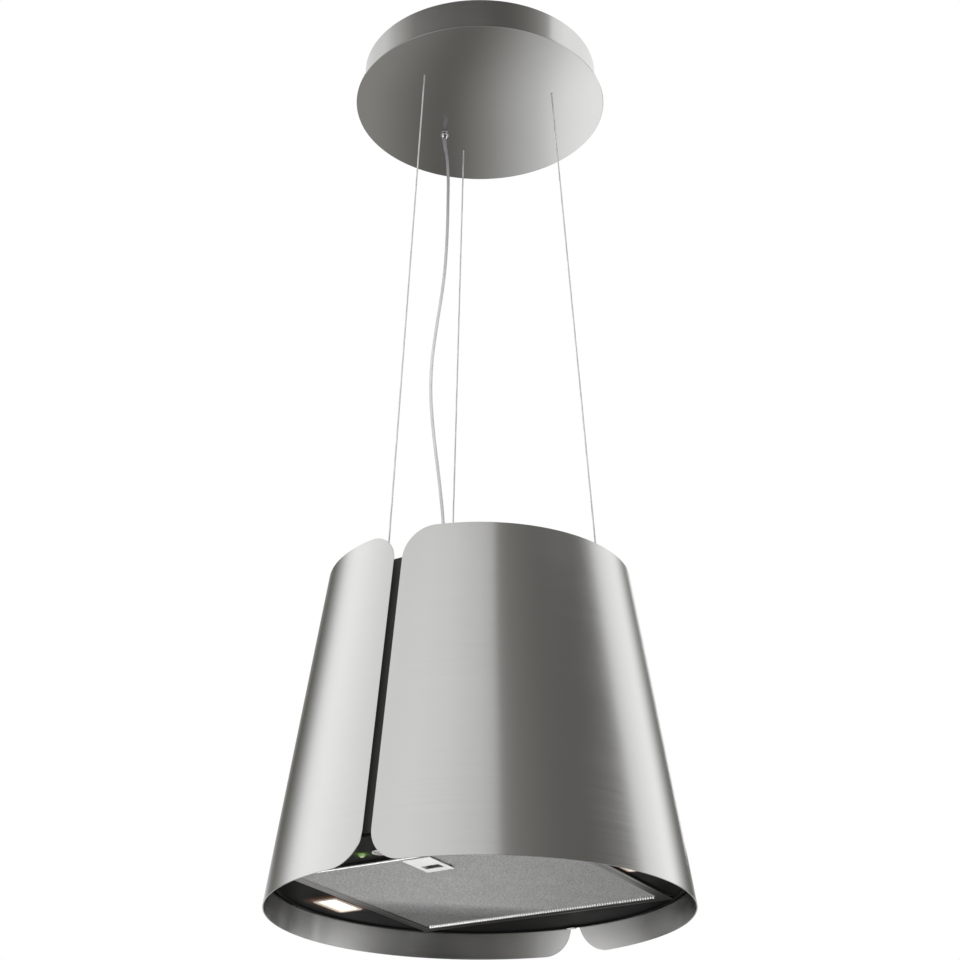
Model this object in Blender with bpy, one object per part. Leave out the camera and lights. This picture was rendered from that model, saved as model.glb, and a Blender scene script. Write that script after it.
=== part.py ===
"""Island range hood that hangs from a ceiling canopy on three thin steel wires.

Units are metres and +Z is up.  The origin is the centre of the ceiling face.
The front of the hood, with its controls, faces -Y.  Heights inside the hood
are counted from its lower rim, which is the z = 0 plane of the hood frame.
"""
import math

import bmesh
import bpy
from mathutils import Matrix, Vector

# ---------------------------------------------------------------- driving sizes
DROP = 1.084                    # ceiling face down to the hood's lower rim
CLEAR = 0.0003                  # gap kept between touching pieces

HOOD_HEIGHT = 0.369
HOOD_BOTTOM_RADIUS = 0.225
HOOD_TOP_RADIUS = 0.169
PETAL_SHEET = 0.0012
PETAL_SLOT = 0.010              # slot between the two petals, front and back
PETAL_CORNER = 0.035            # radius of the petals' rounded corners

CASING_INSET = 0.0085           # petal's outer face in to the casing
CASING_SHEET = 0.0015
CASING_LOW = 0.0310
CASING_HIGH = 0.3400

PANEL_LOW = 0.0292              # lower face of the black bottom panel
PANEL_SHEET = 0.0015
PANEL_RADIUS = 0.2176
PANEL_LIP = 0.0040
PANEL_LIP_DROP = 0.0015

TOP_PLATE_LOW = 0.3350
TOP_PLATE_SHEET = 0.0015
SLOT_COUNT = 9                  # air outlet slots in the top plate

FILTER_HALF_WIDTH = 0.154
FILTER_FRONT = -0.135
FILTER_BACK = 0.147
FILTER_LOW = 0.0268
FILTER_DEPTH = 0.010
FILTER_SIDE_FLANGE = 0.012
FILTER_FRONT_FLANGE = 0.005
FILTER_BACK_FLANGE = 0.018
PAN_INSET = 0.006               # filter walls stand in from the flange edge
PAN_FRONT_INSET = 0.002
FILTER_OPENING_PLAY = 0.001

LATCH_HALF_WIDTH = 0.016
LATCH_FRONT = -0.130
LATCH_BACK = -0.080
LATCH_LOW = 0.0257

LAMP_X = 0.1745                 # lamp centre, left and right of the filter
LAMP_HALF_WIDTH = 0.017
LAMP_HALF_LENGTH = 0.031

CONTROL_Y = -0.161
CONTROL_PITCH = 0.0215
BUTTON_RADIUS = 0.0060
BUTTON_HOLE_RADIUS = 0.0064
BUTTON_RING_RADIUS = 0.0085

FAN_HEIGHT = 0.175              # fan axis, along X, above the hood's rim
SCROLL_MIN = 0.078
SCROLL_MAX = 0.112
SCROLL_WALL = 0.002
SCROLL_HALF_WIDTH = 0.066
INLET_RADIUS = 0.060
DUCT_TOP = 0.3097
TONGUE_ANGLE = math.radians(-15)
IMPELLER_RADIUS = 0.0715
BLADE_COUNT = 24
SHAFT_RADIUS = 0.0040

CANOPY_DISC_RADIUS = 0.1576
CANOPY_WALL_RADIUS = 0.1475
CANOPY_SHEET = 0.0012
CANOPY_DEPTH = 0.050
CANOPY_DISC_SHEET = 0.002
BRACKET_RADIUS = 0.1458
BRACKET_SHEET = 0.002
BRACKET_SKIRT = 0.012

WIRE_RADIUS = 0.00075
WIRE_CANOPY_RADIUS = 0.0947     # where the wires pass the canopy disc
WIRE_CANOPY_AZIMUTHS = (-17.4, 102.6, 222.6)
WIRE_HOOD_RADIUS = 0.138
WIRE_HOOD_AZIMUTHS = (-17.0, 102.9, 224.6)
ANCHOR_TOP = 0.3447

CORD_RADIUS = 0.0019
CORD_SPACING = 0.0095
CORD_TOP = (-0.0690, 0.0280)
CORD_BOTTOM = (-0.0530, 0.0160)
GLAND_TOP_TIP = -0.0555         # z of the upper gland's lower end
GLAND_HOOD_TIP = 0.3588         # height of the lower gland's upper end

# Route of the power cord, world metres, from the canopy down to the hood.
CORD_ROUTE = (
    (-0.0690, 0.0280, -0.0558),
    (-0.0682, 0.0282, -0.0680),
    (-0.0660, 0.0288, -0.0830),
    (-0.0645, 0.0290, -0.1000),
    (-0.0634, 0.0290, -0.1240),
    (-0.0630, 0.0282, -0.1550),
    (-0.0628, 0.0274, -0.1860),
    (-0.0630, 0.0263, -0.2170),
    (-0.0637, 0.0249, -0.2480),
    (-0.0652, 0.0231, -0.2780),
    (-0.0676, 0.0208, -0.3070),
    (-0.0704, 0.0184, -0.3360),
    (-0.0731, 0.0160, -0.3660),
    (-0.0750, 0.0140, -0.3940),
    (-0.0757, 0.0127, -0.4230),
    (-0.0750, 0.0124, -0.4510),
    (-0.0730, 0.0126, -0.4780),
    (-0.0703, 0.0133, -0.5060),
    (-0.0672, 0.0142, -0.5330),
    (-0.0641, 0.0151, -0.5600),
    (-0.0612, 0.0158, -0.5870),
    (-0.0588, 0.0162, -0.6130),
    (-0.0566, 0.0163, -0.6420),
    (-0.0548, 0.0162, -0.6720),
    (-0.0534, 0.0160, -0.7050),
    (-0.0530, 0.0160, -0.7249),
)

# ------------------------------------------------------------- colours, finishes
FINISHES = {
    "brushed_steel": ((0.56, 0.55, 0.53), 0.34, 1.0),
    "zinc_steel": ((0.48, 0.49, 0.50), 0.45, 1.0),
    "chrome": ((0.80, 0.80, 0.80), 0.12, 1.0),
    "black_paint": ((0.018, 0.018, 0.019), 0.42, 0.0),
    "black_plastic": ((0.025, 0.025, 0.027), 0.50, 0.0),
    "grey_plastic": ((0.20, 0.20, 0.21), 0.55, 0.0),
    "white_plastic": ((0.78, 0.78, 0.76), 0.45, 0.0),
    "filter_aluminium": ((0.62, 0.62, 0.61), 0.36, 1.0),
    "fan_plastic": ((0.10, 0.10, 0.11), 0.50, 0.0),
    "motor_steel": ((0.42, 0.42, 0.44), 0.40, 1.0),
    "carbon": ((0.03, 0.03, 0.03), 0.90, 0.0),
    "lamp_lens": ((1.00, 0.86, 0.66), 0.30, 0.0),
    "green_lens": ((0.30, 0.80, 0.16), 0.30, 0.0),
    "cord_grey": ((0.36, 0.35, 0.37), 0.45, 0.0),
}


def finish_material(node, finish):
    """One Principled material for one node."""
    colour, roughness, metallic = FINISHES[finish]
    material = bpy.data.materials.new(f"{node}_{finish}")
    material.use_nodes = True
    shader = material.node_tree.nodes["Principled BSDF"]
    shader.inputs["Base Color"].default_value = (*colour, 1.0)
    shader.inputs["Roughness"].default_value = roughness
    shader.inputs["Metallic"].default_value = metallic
    material.diffuse_color = (*colour, 1.0)
    return material


# ---------------------------------------------------------------- object helpers
def clear_scene():
    for item in list(bpy.data.objects):
        bpy.data.objects.remove(item, do_unlink=True)


def empty(name, location, parent=None):
    item = bpy.data.objects.new(name, None)
    item.location = location
    item.parent = parent
    bpy.context.scene.collection.objects.link(item)
    return item


def add_object(name, bm, finish, parent=None, location=(0, 0, 0), smooth=True):
    """Turn a bmesh into an object with outward faces and its own material."""
    bmesh.ops.recalc_face_normals(bm, faces=bm.faces)
    mesh = bpy.data.meshes.new(name)
    bm.to_mesh(mesh)
    bm.free()
    if smooth:
        mesh.shade_smooth()
        mesh.set_sharp_from_angle(angle=math.radians(35))
    item = bpy.data.objects.new(name, mesh)
    item.parent = parent
    item.location = location
    if finish:
        mesh.materials.append(finish_material(name, finish))
    bpy.context.scene.collection.objects.link(item)
    return item


def boolean(target, tool, operation="DIFFERENCE"):
    """Cut or join with a hidden tool object that shares the target's parent."""
    tool.hide_render = True
    tool.display_type = "WIRE"
    modifier = target.modifiers.new(tool.name, "BOOLEAN")
    modifier.operation = operation
    modifier.solver = "EXACT"
    modifier.object = tool


# ----------------------------------------------------------------- shape helpers
def box_into(bm, low, high):
    size = Vector(high) - Vector(low)
    centre = (Vector(high) + Vector(low)) / 2
    matrix = Matrix.Translation(centre) @ Matrix.Diagonal((*size, 1.0))
    bmesh.ops.create_cube(bm, size=1.0, matrix=matrix)


def box(low, high):
    bm = bmesh.new()
    box_into(bm, low, high)
    return bm


def boxes(corner_pairs):
    bm = bmesh.new()
    for low, high in corner_pairs:
        box_into(bm, low, high)
    return bm


def turned(outline, segments=32, centre=(0.0, 0.0)):
    """Turn a closed (radius, z) outline round the vertical through centre."""
    bm = bmesh.new()
    rings = []
    for radius, z in outline:
        if radius < 1e-9:
            rings.append([bm.verts.new((centre[0], centre[1], z))])
            continue
        ring = []
        for step in range(segments):
            angle = 2 * math.pi * step / segments
            x = centre[0] + radius * math.sin(angle)
            y = centre[1] - radius * math.cos(angle)
            ring.append(bm.verts.new((x, y, z)))
        rings.append(ring)
    for here, there in zip(rings, rings[1:] + rings[:1]):
        if len(here) == 1 and len(there) == 1:
            continue
        for step in range(segments):
            after = (step + 1) % segments
            corners = [here[step % len(here)], here[after % len(here)],
                       there[after % len(there)], there[step % len(there)]]
            bm.faces.new(list(dict.fromkeys(corners)))
    return bm


def rod(radius, low, high, segments=16, centre=(0.0, 0.0)):
    return turned([(0, low), (radius, low), (radius, high), (0, high)], segments, centre)


def rods(places, radius, low, high, segments=16):
    """Several separate upright rods in one mesh, used as a drill."""
    bm = bmesh.new()
    for x, y in places:
        matrix = Matrix.Translation((x, y, (low + high) / 2))
        bmesh.ops.create_cone(bm, cap_ends=True, segments=segments, radius1=radius,
                              radius2=radius, depth=high - low, matrix=matrix)
    return bm


def lying_along_x(bm):
    """Turn a shape modelled round Z so that its axis lies along +X."""
    bmesh.ops.rotate(bm, verts=bm.verts, matrix=Matrix.Rotation(math.radians(90), 3, "Y"))
    return bm


def prism_along_x(outline, low, high):
    """Extrude a closed (y, z) outline along X."""
    bm = bmesh.new()
    start = [bm.verts.new((low, y, z)) for y, z in outline]
    end = [bm.verts.new((high, y, z)) for y, z in outline]
    bm.faces.new(start)
    bm.faces.new(end)
    for step in range(len(outline)):
        after = (step + 1) % len(outline)
        bm.faces.new((start[step], start[after], end[after], end[step]))
    return bm


def framed(profile, half_width, half_length, centre=(0.0, 0.0)):
    """Run a closed (inset, z) profile round a rectangle."""
    bm = bmesh.new()
    rings = []
    for inset, z in profile:
        x = half_width - inset
        y = half_length - inset
        corners = ((-x, -y), (x, -y), (x, y), (-x, y))
        rings.append([bm.verts.new((centre[0] + a, centre[1] + b, z)) for a, b in corners])
    for here, there in zip(rings, rings[1:] + rings[:1]):
        for step in range(4):
            after = (step + 1) % 4
            bm.faces.new((here[step], here[after], there[after], there[step]))
    return bm


def tray(low, high, wall, opening_up):
    """A box-shaped shell, open at its top or at its bottom."""
    bm = box(low, high)
    bm.faces.ensure_lookup_table()
    side = 1 if opening_up else -1
    mouth = max(bm.faces, key=lambda face: side * face.calc_center_median().z)
    bmesh.ops.inset_individual(bm, faces=[mouth], thickness=wall)
    pulled = bmesh.ops.extrude_discrete_faces(bm, faces=[mouth])["faces"][0]
    shift = Vector((0, 0, -side * (high[2] - low[2] - wall)))
    bmesh.ops.translate(bm, verts=pulled.verts, vec=shift)
    return bm


def around(azimuth_degrees, radius):
    """Point at an azimuth counted from -Y towards +X."""
    angle = math.radians(azimuth_degrees)
    return radius * math.sin(angle), -radius * math.cos(angle)


def petal_radius(height):
    return HOOD_BOTTOM_RADIUS - (HOOD_BOTTOM_RADIUS - HOOD_TOP_RADIUS) * height / HOOD_HEIGHT


CONE_ANGLE = math.atan((HOOD_BOTTOM_RADIUS - HOOD_TOP_RADIUS) / HOOD_HEIGHT)
PETAL_WALL = PETAL_SHEET / math.cos(CONE_ANGLE)
CASING_WALL = CASING_SHEET / math.cos(CONE_ANGLE)


def casing_radius(height):
    return petal_radius(height) - CASING_INSET


# ------------------------------------------------------------------ ceiling parts
def grub_screw_places():
    """Azimuths of the two side screws that hold the canopy to its bracket."""
    return (122.5, -57.5)


def side_drill(name, radius, azimuth, parent):
    """A drill through the canopy wall, lying along its radius."""
    bm = lying_along_x(rod(radius, 0.136, 0.156, 12))
    drill = add_object(name, bm, None, parent, (0, 0, -0.007), smooth=False)
    drill.rotation_euler.z = math.radians(azimuth - 90)
    return drill


def make_ceiling_bracket(parent):
    outline = [(0, 0), (BRACKET_RADIUS, 0), (BRACKET_RADIUS, -BRACKET_SKIRT),
               (BRACKET_RADIUS - BRACKET_SHEET, -BRACKET_SKIRT),
               (BRACKET_RADIUS - BRACKET_SHEET, -BRACKET_SHEET), (0, -BRACKET_SHEET)]
    bracket = add_object("ceiling_bracket", turned(outline, 72), "zinc_steel", parent)
    fixing = [around(azimuth, 0.115) for azimuth in (40, 140, 220, 320)]
    holes = rods(fixing, 0.0035, -0.01, 0.01, 12)
    boolean(bracket, add_object("bracket_fixing_drill", holes, None, parent, smooth=False))
    entry = rods([(0.058, -0.052)], 0.014, -0.01, 0.01, 20)
    boolean(bracket, add_object("bracket_cable_drill", entry, None, parent, smooth=False))
    for number, azimuth in enumerate(grub_screw_places(), 1):
        boolean(bracket, side_drill(f"bracket_side_drill_{number}", 0.0022, azimuth, parent))


def make_canopy(parent):
    top = -0.0005
    low = -CANOPY_DEPTH + CANOPY_DISC_SHEET + CLEAR
    inner = CANOPY_WALL_RADIUS - CANOPY_SHEET
    shelf = inner - 0.010
    outline = [(CANOPY_WALL_RADIUS, low), (CANOPY_WALL_RADIUS, top), (inner, top),
               (inner, low + 0.0015), (shelf, low + 0.0015), (shelf, low)]
    ring = add_object("canopy_ring", turned(outline, 72), "brushed_steel", parent)
    for number, azimuth in enumerate(grub_screw_places(), 1):
        boolean(ring, side_drill(f"ring_side_drill_{number}", 0.0022, azimuth, parent))

    disc_low = -CANOPY_DEPTH
    disc_top = disc_low + CANOPY_DISC_SHEET
    edge = 0.0004
    rim = CANOPY_DISC_RADIUS
    outline = [(0, disc_low), (rim - edge, disc_low), (rim, disc_low + edge),
               (rim, disc_top - edge), (rim - edge, disc_top), (0, disc_top)]
    disc = add_object("canopy_disc", turned(outline, 96), "brushed_steel", parent)
    wire_places = [around(azimuth, WIRE_CANOPY_RADIUS) for azimuth in WIRE_CANOPY_AZIMUTHS]
    wire_holes = rods(wire_places, 0.0020, -0.06, -0.04, 12)
    boolean(disc, add_object("disc_wire_drill", wire_holes, None, parent, smooth=False))
    cord_hole = rods([CORD_TOP], 0.0040, -0.06, -0.04, 16)
    boolean(disc, add_object("disc_cord_drill", cord_hole, None, parent, smooth=False))


def make_canopy_screws(parent):
    wall = CANOPY_WALL_RADIUS + CLEAR
    outline = [(0, 0.1430), (0.0017, 0.1430), (0.0017, wall), (0.0034, wall),
               (0.0030, wall + 0.0012), (0, wall + 0.0014)]
    for number, azimuth in enumerate(grub_screw_places(), 1):
        bm = lying_along_x(turned(outline, 12))
        screw = add_object(f"canopy_screw_{number}", bm, "zinc_steel", parent, (0, 0, -0.007))
        screw.rotation_euler.z = math.radians(azimuth - 90)


def make_terminal_box(parent):
    high = -BRACKET_SHEET - CLEAR
    low = high - 0.026
    shell = tray((-0.040, -0.0225, low), (0.040, 0.0225, high), 0.002, opening_up=False)
    add_object("terminal_box", shell, "white_plastic", parent, smooth=False)
    lid_high = low - CLEAR
    lid = box((-0.040, -0.0225, lid_high - 0.002), (0.040, 0.0225, lid_high))
    add_object("terminal_lid", lid, "white_plastic", parent, smooth=False)


def wire_point(number, z):
    """Point on wire number (0 to 2) at world height z."""
    x0, y0 = around(WIRE_CANOPY_AZIMUTHS[number], WIRE_CANOPY_RADIUS)
    x1, y1 = around(WIRE_HOOD_AZIMUTHS[number], WIRE_HOOD_RADIUS)
    z0 = -CANOPY_DEPTH
    z1 = ANCHOR_TOP - DROP
    share = (z0 - z) / (z0 - z1)
    return Vector((x0 + (x1 - x0) * share, y0 + (y1 - y0) * share, z))


def make_wire_grippers(parent):
    top = -BRACKET_SHEET - CLEAR
    outline = [(0, top), (0.0050, top), (0.0050, -0.0180), (0.0062, -0.0180),
               (0.0062, -0.0260), (0.0035, -0.0300), (0, -0.0300)]
    for number in range(3):
        place = wire_point(number, -0.0300)
        bm = turned(outline, 16, place.xy)
        add_object(f"wire_gripper_{number + 1}", bm, "chrome", parent)


def tube_curve(name, points, radius, resolution, finish, parent=None):
    """A round tube along points, with filled caps."""
    curve = bpy.data.curves.new(name, "CURVE")
    curve.dimensions = "3D"
    curve.bevel_depth = radius
    curve.bevel_resolution = resolution
    curve.use_fill_caps = True
    spline = curve.splines.new("POLY")
    spline.points.add(len(points) - 1)
    for slot, point in zip(spline.points, points):
        slot.co = (*point, 1.0)
    curve.materials.append(finish_material(name, finish))
    item = bpy.data.objects.new(name, curve)
    item.parent = parent
    bpy.context.scene.collection.objects.link(item)
    return item


def make_wires():
    for number in range(3):
        top = wire_point(number, -0.0300 - CLEAR)
        bottom = wire_point(number, ANCHOR_TOP - DROP + CLEAR)
        name = f"suspension_wire_{number + 1}"
        tube_curve(name, [top, bottom], WIRE_RADIUS, 2, "zinc_steel")


def smooth_route(route, spacing):
    """Even points on a Catmull-Rom curve through the route's own points."""
    knots = [Vector(point) for point in route]
    knots = [2 * knots[0] - knots[1]] + knots + [2 * knots[-1] - knots[-2]]
    fine = []
    for a, b, c, d in zip(knots, knots[1:], knots[2:], knots[3:]):
        for step in range(12):
            t = step / 12
            fine.append(0.5 * (2 * b + (c - a) * t + (2 * a - 5 * b + 4 * c - d) * t ** 2
                               + (3 * b - a - 3 * c + d) * t ** 3))
    fine.append(knots[-2])
    total = sum((q - p).length for p, q in zip(fine, fine[1:]))
    count = round(total / spacing)
    even = [fine[0]]
    run = 0.0
    for p, q in zip(fine, fine[1:]):
        length = (q - p).length
        while len(even) < count and run + length >= total * len(even) / count:
            share = (total * len(even) / count - run) / length
            even.append(p.lerp(q, share))
        run += length
    even.append(fine[-1])
    return even


def make_power_cord():
    points = smooth_route(CORD_ROUTE, CORD_SPACING)
    tube_curve("power_cord", points, CORD_RADIUS, 2, "cord_grey")


def make_upper_gland(parent):
    flange = -CANOPY_DEPTH - CLEAR
    outline = [(0, -0.0400), (0.0034, -0.0400), (0.0034, flange), (0.0045, flange),
               (0.0045, flange - 0.0012), (0.0036, flange - 0.0018),
               (0.0024, GLAND_TOP_TIP), (0, GLAND_TOP_TIP)]
    add_object("cord_gland_upper", turned(outline, 20, CORD_TOP), "chrome", parent)


# ----------------------------------------------------------------- hood structure
def petal_columns():
    """Columns of a petal, from its front edge to its back edge.

    Each column gives its distance from the nearer edge, or None past the
    corner, and its share of the way along the plain stretch between corners.
    """
    corner_steps = 6
    plain_steps = 40
    runs = [PETAL_CORNER * (1 - math.cos(math.pi / 2 * step / corner_steps))
            for step in range(corner_steps)]
    columns = [(run, 0.0) for run in runs]
    columns += [(PETAL_CORNER, step / plain_steps) for step in range(plain_steps + 1)]
    columns += [(run, 1.0) for run in reversed(runs)]
    return columns


def petal_azimuth(run, share, radius):
    """Azimuth of a column at a radius, between the front and the back slot."""
    edge = math.asin(PETAL_SLOT / 2 / radius)
    first = edge + PETAL_CORNER / radius
    if run < PETAL_CORNER:
        angle = edge + run / radius
        return math.pi - angle if share else angle
    return first + (math.pi - 2 * first) * share


def make_petal(name, side, parent):
    """A half shell of the cone, side +1 to the right or -1 to the left."""
    bm = bmesh.new()
    rings = []
    for run, share in petal_columns():
        rise = PETAL_CORNER - math.sqrt(max(0.0, PETAL_CORNER ** 2 - (PETAL_CORNER - run) ** 2))
        corners = []
        for height, wall in ((rise, 0), (HOOD_HEIGHT - rise, 0),
                             (HOOD_HEIGHT - rise, PETAL_WALL), (rise, PETAL_WALL)):
            radius = petal_radius(height)
            angle = petal_azimuth(run, share, radius)
            reach = radius - wall
            place = (side * reach * math.sin(angle), -reach * math.cos(angle), height)
            corners.append(bm.verts.new(place))
        rings.append(corners)
    for here, there in zip(rings, rings[1:]):
        for step in range(4):
            after = (step + 1) % 4
            bm.faces.new((here[step], here[after], there[after], there[step]))
    bm.faces.new(rings[0])
    bm.faces.new(rings[-1])
    add_object(name, bm, "brushed_steel", parent)


def make_standoffs(parent):
    """Short radial spacers that hold the petals off the casing."""
    play = 0.0006
    length = CASING_INSET - PETAL_WALL - 2 * play
    height = 0.185
    for number, azimuth in enumerate((48, 132, 228, 312), 1):
        bm = rod(0.006, 0, length, 16)
        item = add_object(f"petal_standoff_{number}", bm, "black_plastic", parent)
        reach = casing_radius(height) + play
        x, y = around(azimuth, reach)
        item.location = (x, y, height)
        item.rotation_euler = (math.radians(90) - CONE_ANGLE, 0, math.radians(azimuth))


def make_inner_casing(parent):
    outline = [(casing_radius(CASING_LOW), CASING_LOW), (casing_radius(CASING_HIGH), CASING_HIGH),
               (casing_radius(CASING_HIGH) - CASING_WALL, CASING_HIGH),
               (casing_radius(CASING_LOW) - CASING_WALL, CASING_LOW)]
    add_object("inner_casing", turned(outline, 72), "black_paint", parent)


def control_places():
    """X of the five positions of the control strip, the indicator first."""
    return [CONTROL_PITCH * step for step in range(-2, 3)]


def make_bottom_panel(parent):
    top = PANEL_LOW + PANEL_SHEET
    drop = PANEL_LOW - PANEL_LIP_DROP
    inner = PANEL_RADIUS - PANEL_LIP
    outline = [(0, PANEL_LOW), (inner, PANEL_LOW), (inner, drop), (PANEL_RADIUS, drop),
               (PANEL_RADIUS, top), (0, top)]
    panel = add_object("bottom_panel", turned(outline, 96), "black_paint", parent)
    play = FILTER_OPENING_PLAY
    low, high = PANEL_LOW - 0.01, top + 0.01
    mouths = [((-FILTER_HALF_WIDTH - play, FILTER_FRONT - play, low),
               (FILTER_HALF_WIDTH + play, FILTER_BACK + play, high))]
    boolean(panel, add_object("panel_filter_cut", boxes(mouths), None, parent, smooth=False))
    lamp_x = LAMP_HALF_WIDTH - 0.0032
    lamp_y = LAMP_HALF_LENGTH - 0.0032
    windows = [((side * LAMP_X - lamp_x, -lamp_y, low), (side * LAMP_X + lamp_x, lamp_y, high))
               for side in (-1, 1)]
    boolean(panel, add_object("panel_lamp_cut", boxes(windows), None, parent, smooth=False))
    places = control_places()
    lens_hole = rods([(places[0], CONTROL_Y)], 0.0039, low, high, 16)
    boolean(panel, add_object("panel_lens_drill", lens_hole, None, parent, smooth=False))
    button_holes = rods([(x, CONTROL_Y) for x in places[1:]], BUTTON_HOLE_RADIUS, low, high, 20)
    boolean(panel, add_object("panel_button_drill", button_holes, None, parent, smooth=False))


def duct_edges():
    """Front and back walls, in y, of the blower's outlet duct (outer faces)."""
    return -SCROLL_MAX, SCROLL_MIN * math.sin(TONGUE_ANGLE)


def make_top_plate(parent):
    top = TOP_PLATE_LOW + TOP_PLATE_SHEET
    radius = casing_radius(top) - CASING_WALL - CLEAR
    plate = add_object("top_plate", rod(radius, TOP_PLATE_LOW, top, 72), "black_paint", parent)
    front, back = duct_edges()
    low, high = TOP_PLATE_LOW - 0.01, top + 0.01
    reach = SCROLL_HALF_WIDTH - SCROLL_WALL
    pitch = (back - front - 2 * SCROLL_WALL) / SLOT_COUNT
    slots = []
    for step in range(SLOT_COUNT):
        y = front + SCROLL_WALL + pitch * (step + 0.5)
        slots.append(((-reach, y - pitch * 0.33, low), (reach, y + pitch * 0.33, high)))
    boolean(plate, add_object("plate_slot_cut", boxes(slots), None, parent, smooth=False))
    hole = rods([CORD_BOTTOM], 0.0050, low, high, 16)
    boolean(plate, add_object("plate_cord_drill", hole, None, parent, smooth=False))


def make_wire_anchors(parent):
    base = TOP_PLATE_LOW + TOP_PLATE_SHEET + CLEAR
    outline = [(0, base), (0.0080, base), (0.0080, base + 0.0022), (0.0045, base + 0.0036),
               (0.0028, base + 0.0040), (0.0028, ANCHOR_TOP), (0, ANCHOR_TOP)]
    for number in range(3):
        place = wire_point(number, ANCHOR_TOP - DROP)
        bm = turned(outline, 16, place.xy)
        add_object(f"wire_anchor_{number + 1}", bm, "chrome", parent)


def make_lower_gland(parent):
    base = TOP_PLATE_LOW + TOP_PLATE_SHEET + CLEAR
    outline = [(0, 0.3300), (0.0044, 0.3300), (0.0044, base), (0.0080, base),
               (0.0080, base + 0.0020), (0.0050, base + 0.0028),
               (0.0026, GLAND_HOOD_TIP), (0, GLAND_HOOD_TIP)]
    add_object("cord_gland_lower", turned(outline, 20, CORD_BOTTOM), "black_plastic", parent)


def make_rear_clip(parent):
    y = PANEL_RADIUS + CLEAR
    clip = box((-0.004, y, PANEL_LOW - PANEL_LIP_DROP), (0.004, y + 0.0016, PANEL_LOW + PANEL_SHEET))
    add_object("rear_clip", clip, "chrome", parent, smooth=False)


# ------------------------------------------------------------------------- lamps
def make_lamp(side_name, side, parent):
    centre = (side * LAMP_X, 0.0)
    under = PANEL_LOW - CLEAR
    bezel = framed([(0.0004, under - 0.0014), (0, under - 0.0010), (0, under), (0.0036, under),
                    (0.0036, under + 0.0050), (0.0048, under + 0.0050),
                    (0.0048, under - 0.0014)],
                   LAMP_HALF_WIDTH, LAMP_HALF_LENGTH, centre)
    add_object(f"lamp_bezel_{side_name}", bezel, "chrome", parent, smooth=False)
    lens_x = LAMP_HALF_WIDTH - 0.0048 - CLEAR
    lens_y = LAMP_HALF_LENGTH - 0.0048 - CLEAR
    lens = box((centre[0] - lens_x, -lens_y, under - 0.0008),
               (centre[0] + lens_x, lens_y, under + 0.0012))
    add_object(f"lamp_lens_{side_name}", lens, "lamp_lens", parent, smooth=False)
    low = under + 0.0050 + CLEAR
    module = tray((centre[0] - 0.0155, -0.030, low), (centre[0] + 0.0155, 0.030, low + 0.012),
                  0.0015, opening_up=False)
    add_object(f"led_module_{side_name}", module, "motor_steel", parent, smooth=False)


# ---------------------------------------------------------------------- controls
def make_controls(parent):
    under = PANEL_LOW - CLEAR
    over = PANEL_LOW + PANEL_SHEET + CLEAR
    housing = tray((-0.0560, -0.1775, over), (0.0560, -0.1445, over + 0.019), 0.0015,
                   opening_up=False)
    add_object("keypad_housing", housing, "black_plastic", parent, smooth=False)
    places = control_places()
    lens = [(0, under - 0.0008), (0.0028, under - 0.0008), (0.0035, under - 0.0002),
            (0.0035, over + 0.0030), (0, over + 0.0030)]
    add_object("indicator_lens", turned(lens, 16, (places[0], CONTROL_Y)), "green_lens", parent)
    ring = [(BUTTON_HOLE_RADIUS, under - 0.0012), (BUTTON_HOLE_RADIUS + 0.0004, under - 0.0016),
            (BUTTON_RING_RADIUS - 0.0005, under - 0.0014), (BUTTON_RING_RADIUS, under - 0.0008),
            (BUTTON_RING_RADIUS, under), (BUTTON_HOLE_RADIUS, under)]
    cap = [(0, under - 0.0022), (BUTTON_RADIUS - 0.0008, under - 0.0022),
           (BUTTON_RADIUS, under - 0.0016), (BUTTON_RADIUS, over),
           (BUTTON_RADIUS + 0.0020, over), (BUTTON_RADIUS + 0.0020, over + 0.0014),
           (BUTTON_RADIUS - 0.0010, over + 0.0014), (BUTTON_RADIUS - 0.0010, over + 0.0060),
           (0, over + 0.0060)]
    for number, x in enumerate(places[1:], 1):
        add_object(f"button_ring_{number}", turned(ring, 24, (x, CONTROL_Y)), "chrome", parent)
        add_object(f"button_{number}", turned(cap, 20), "brushed_steel", parent,
                   (x, CONTROL_Y, 0))


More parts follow.
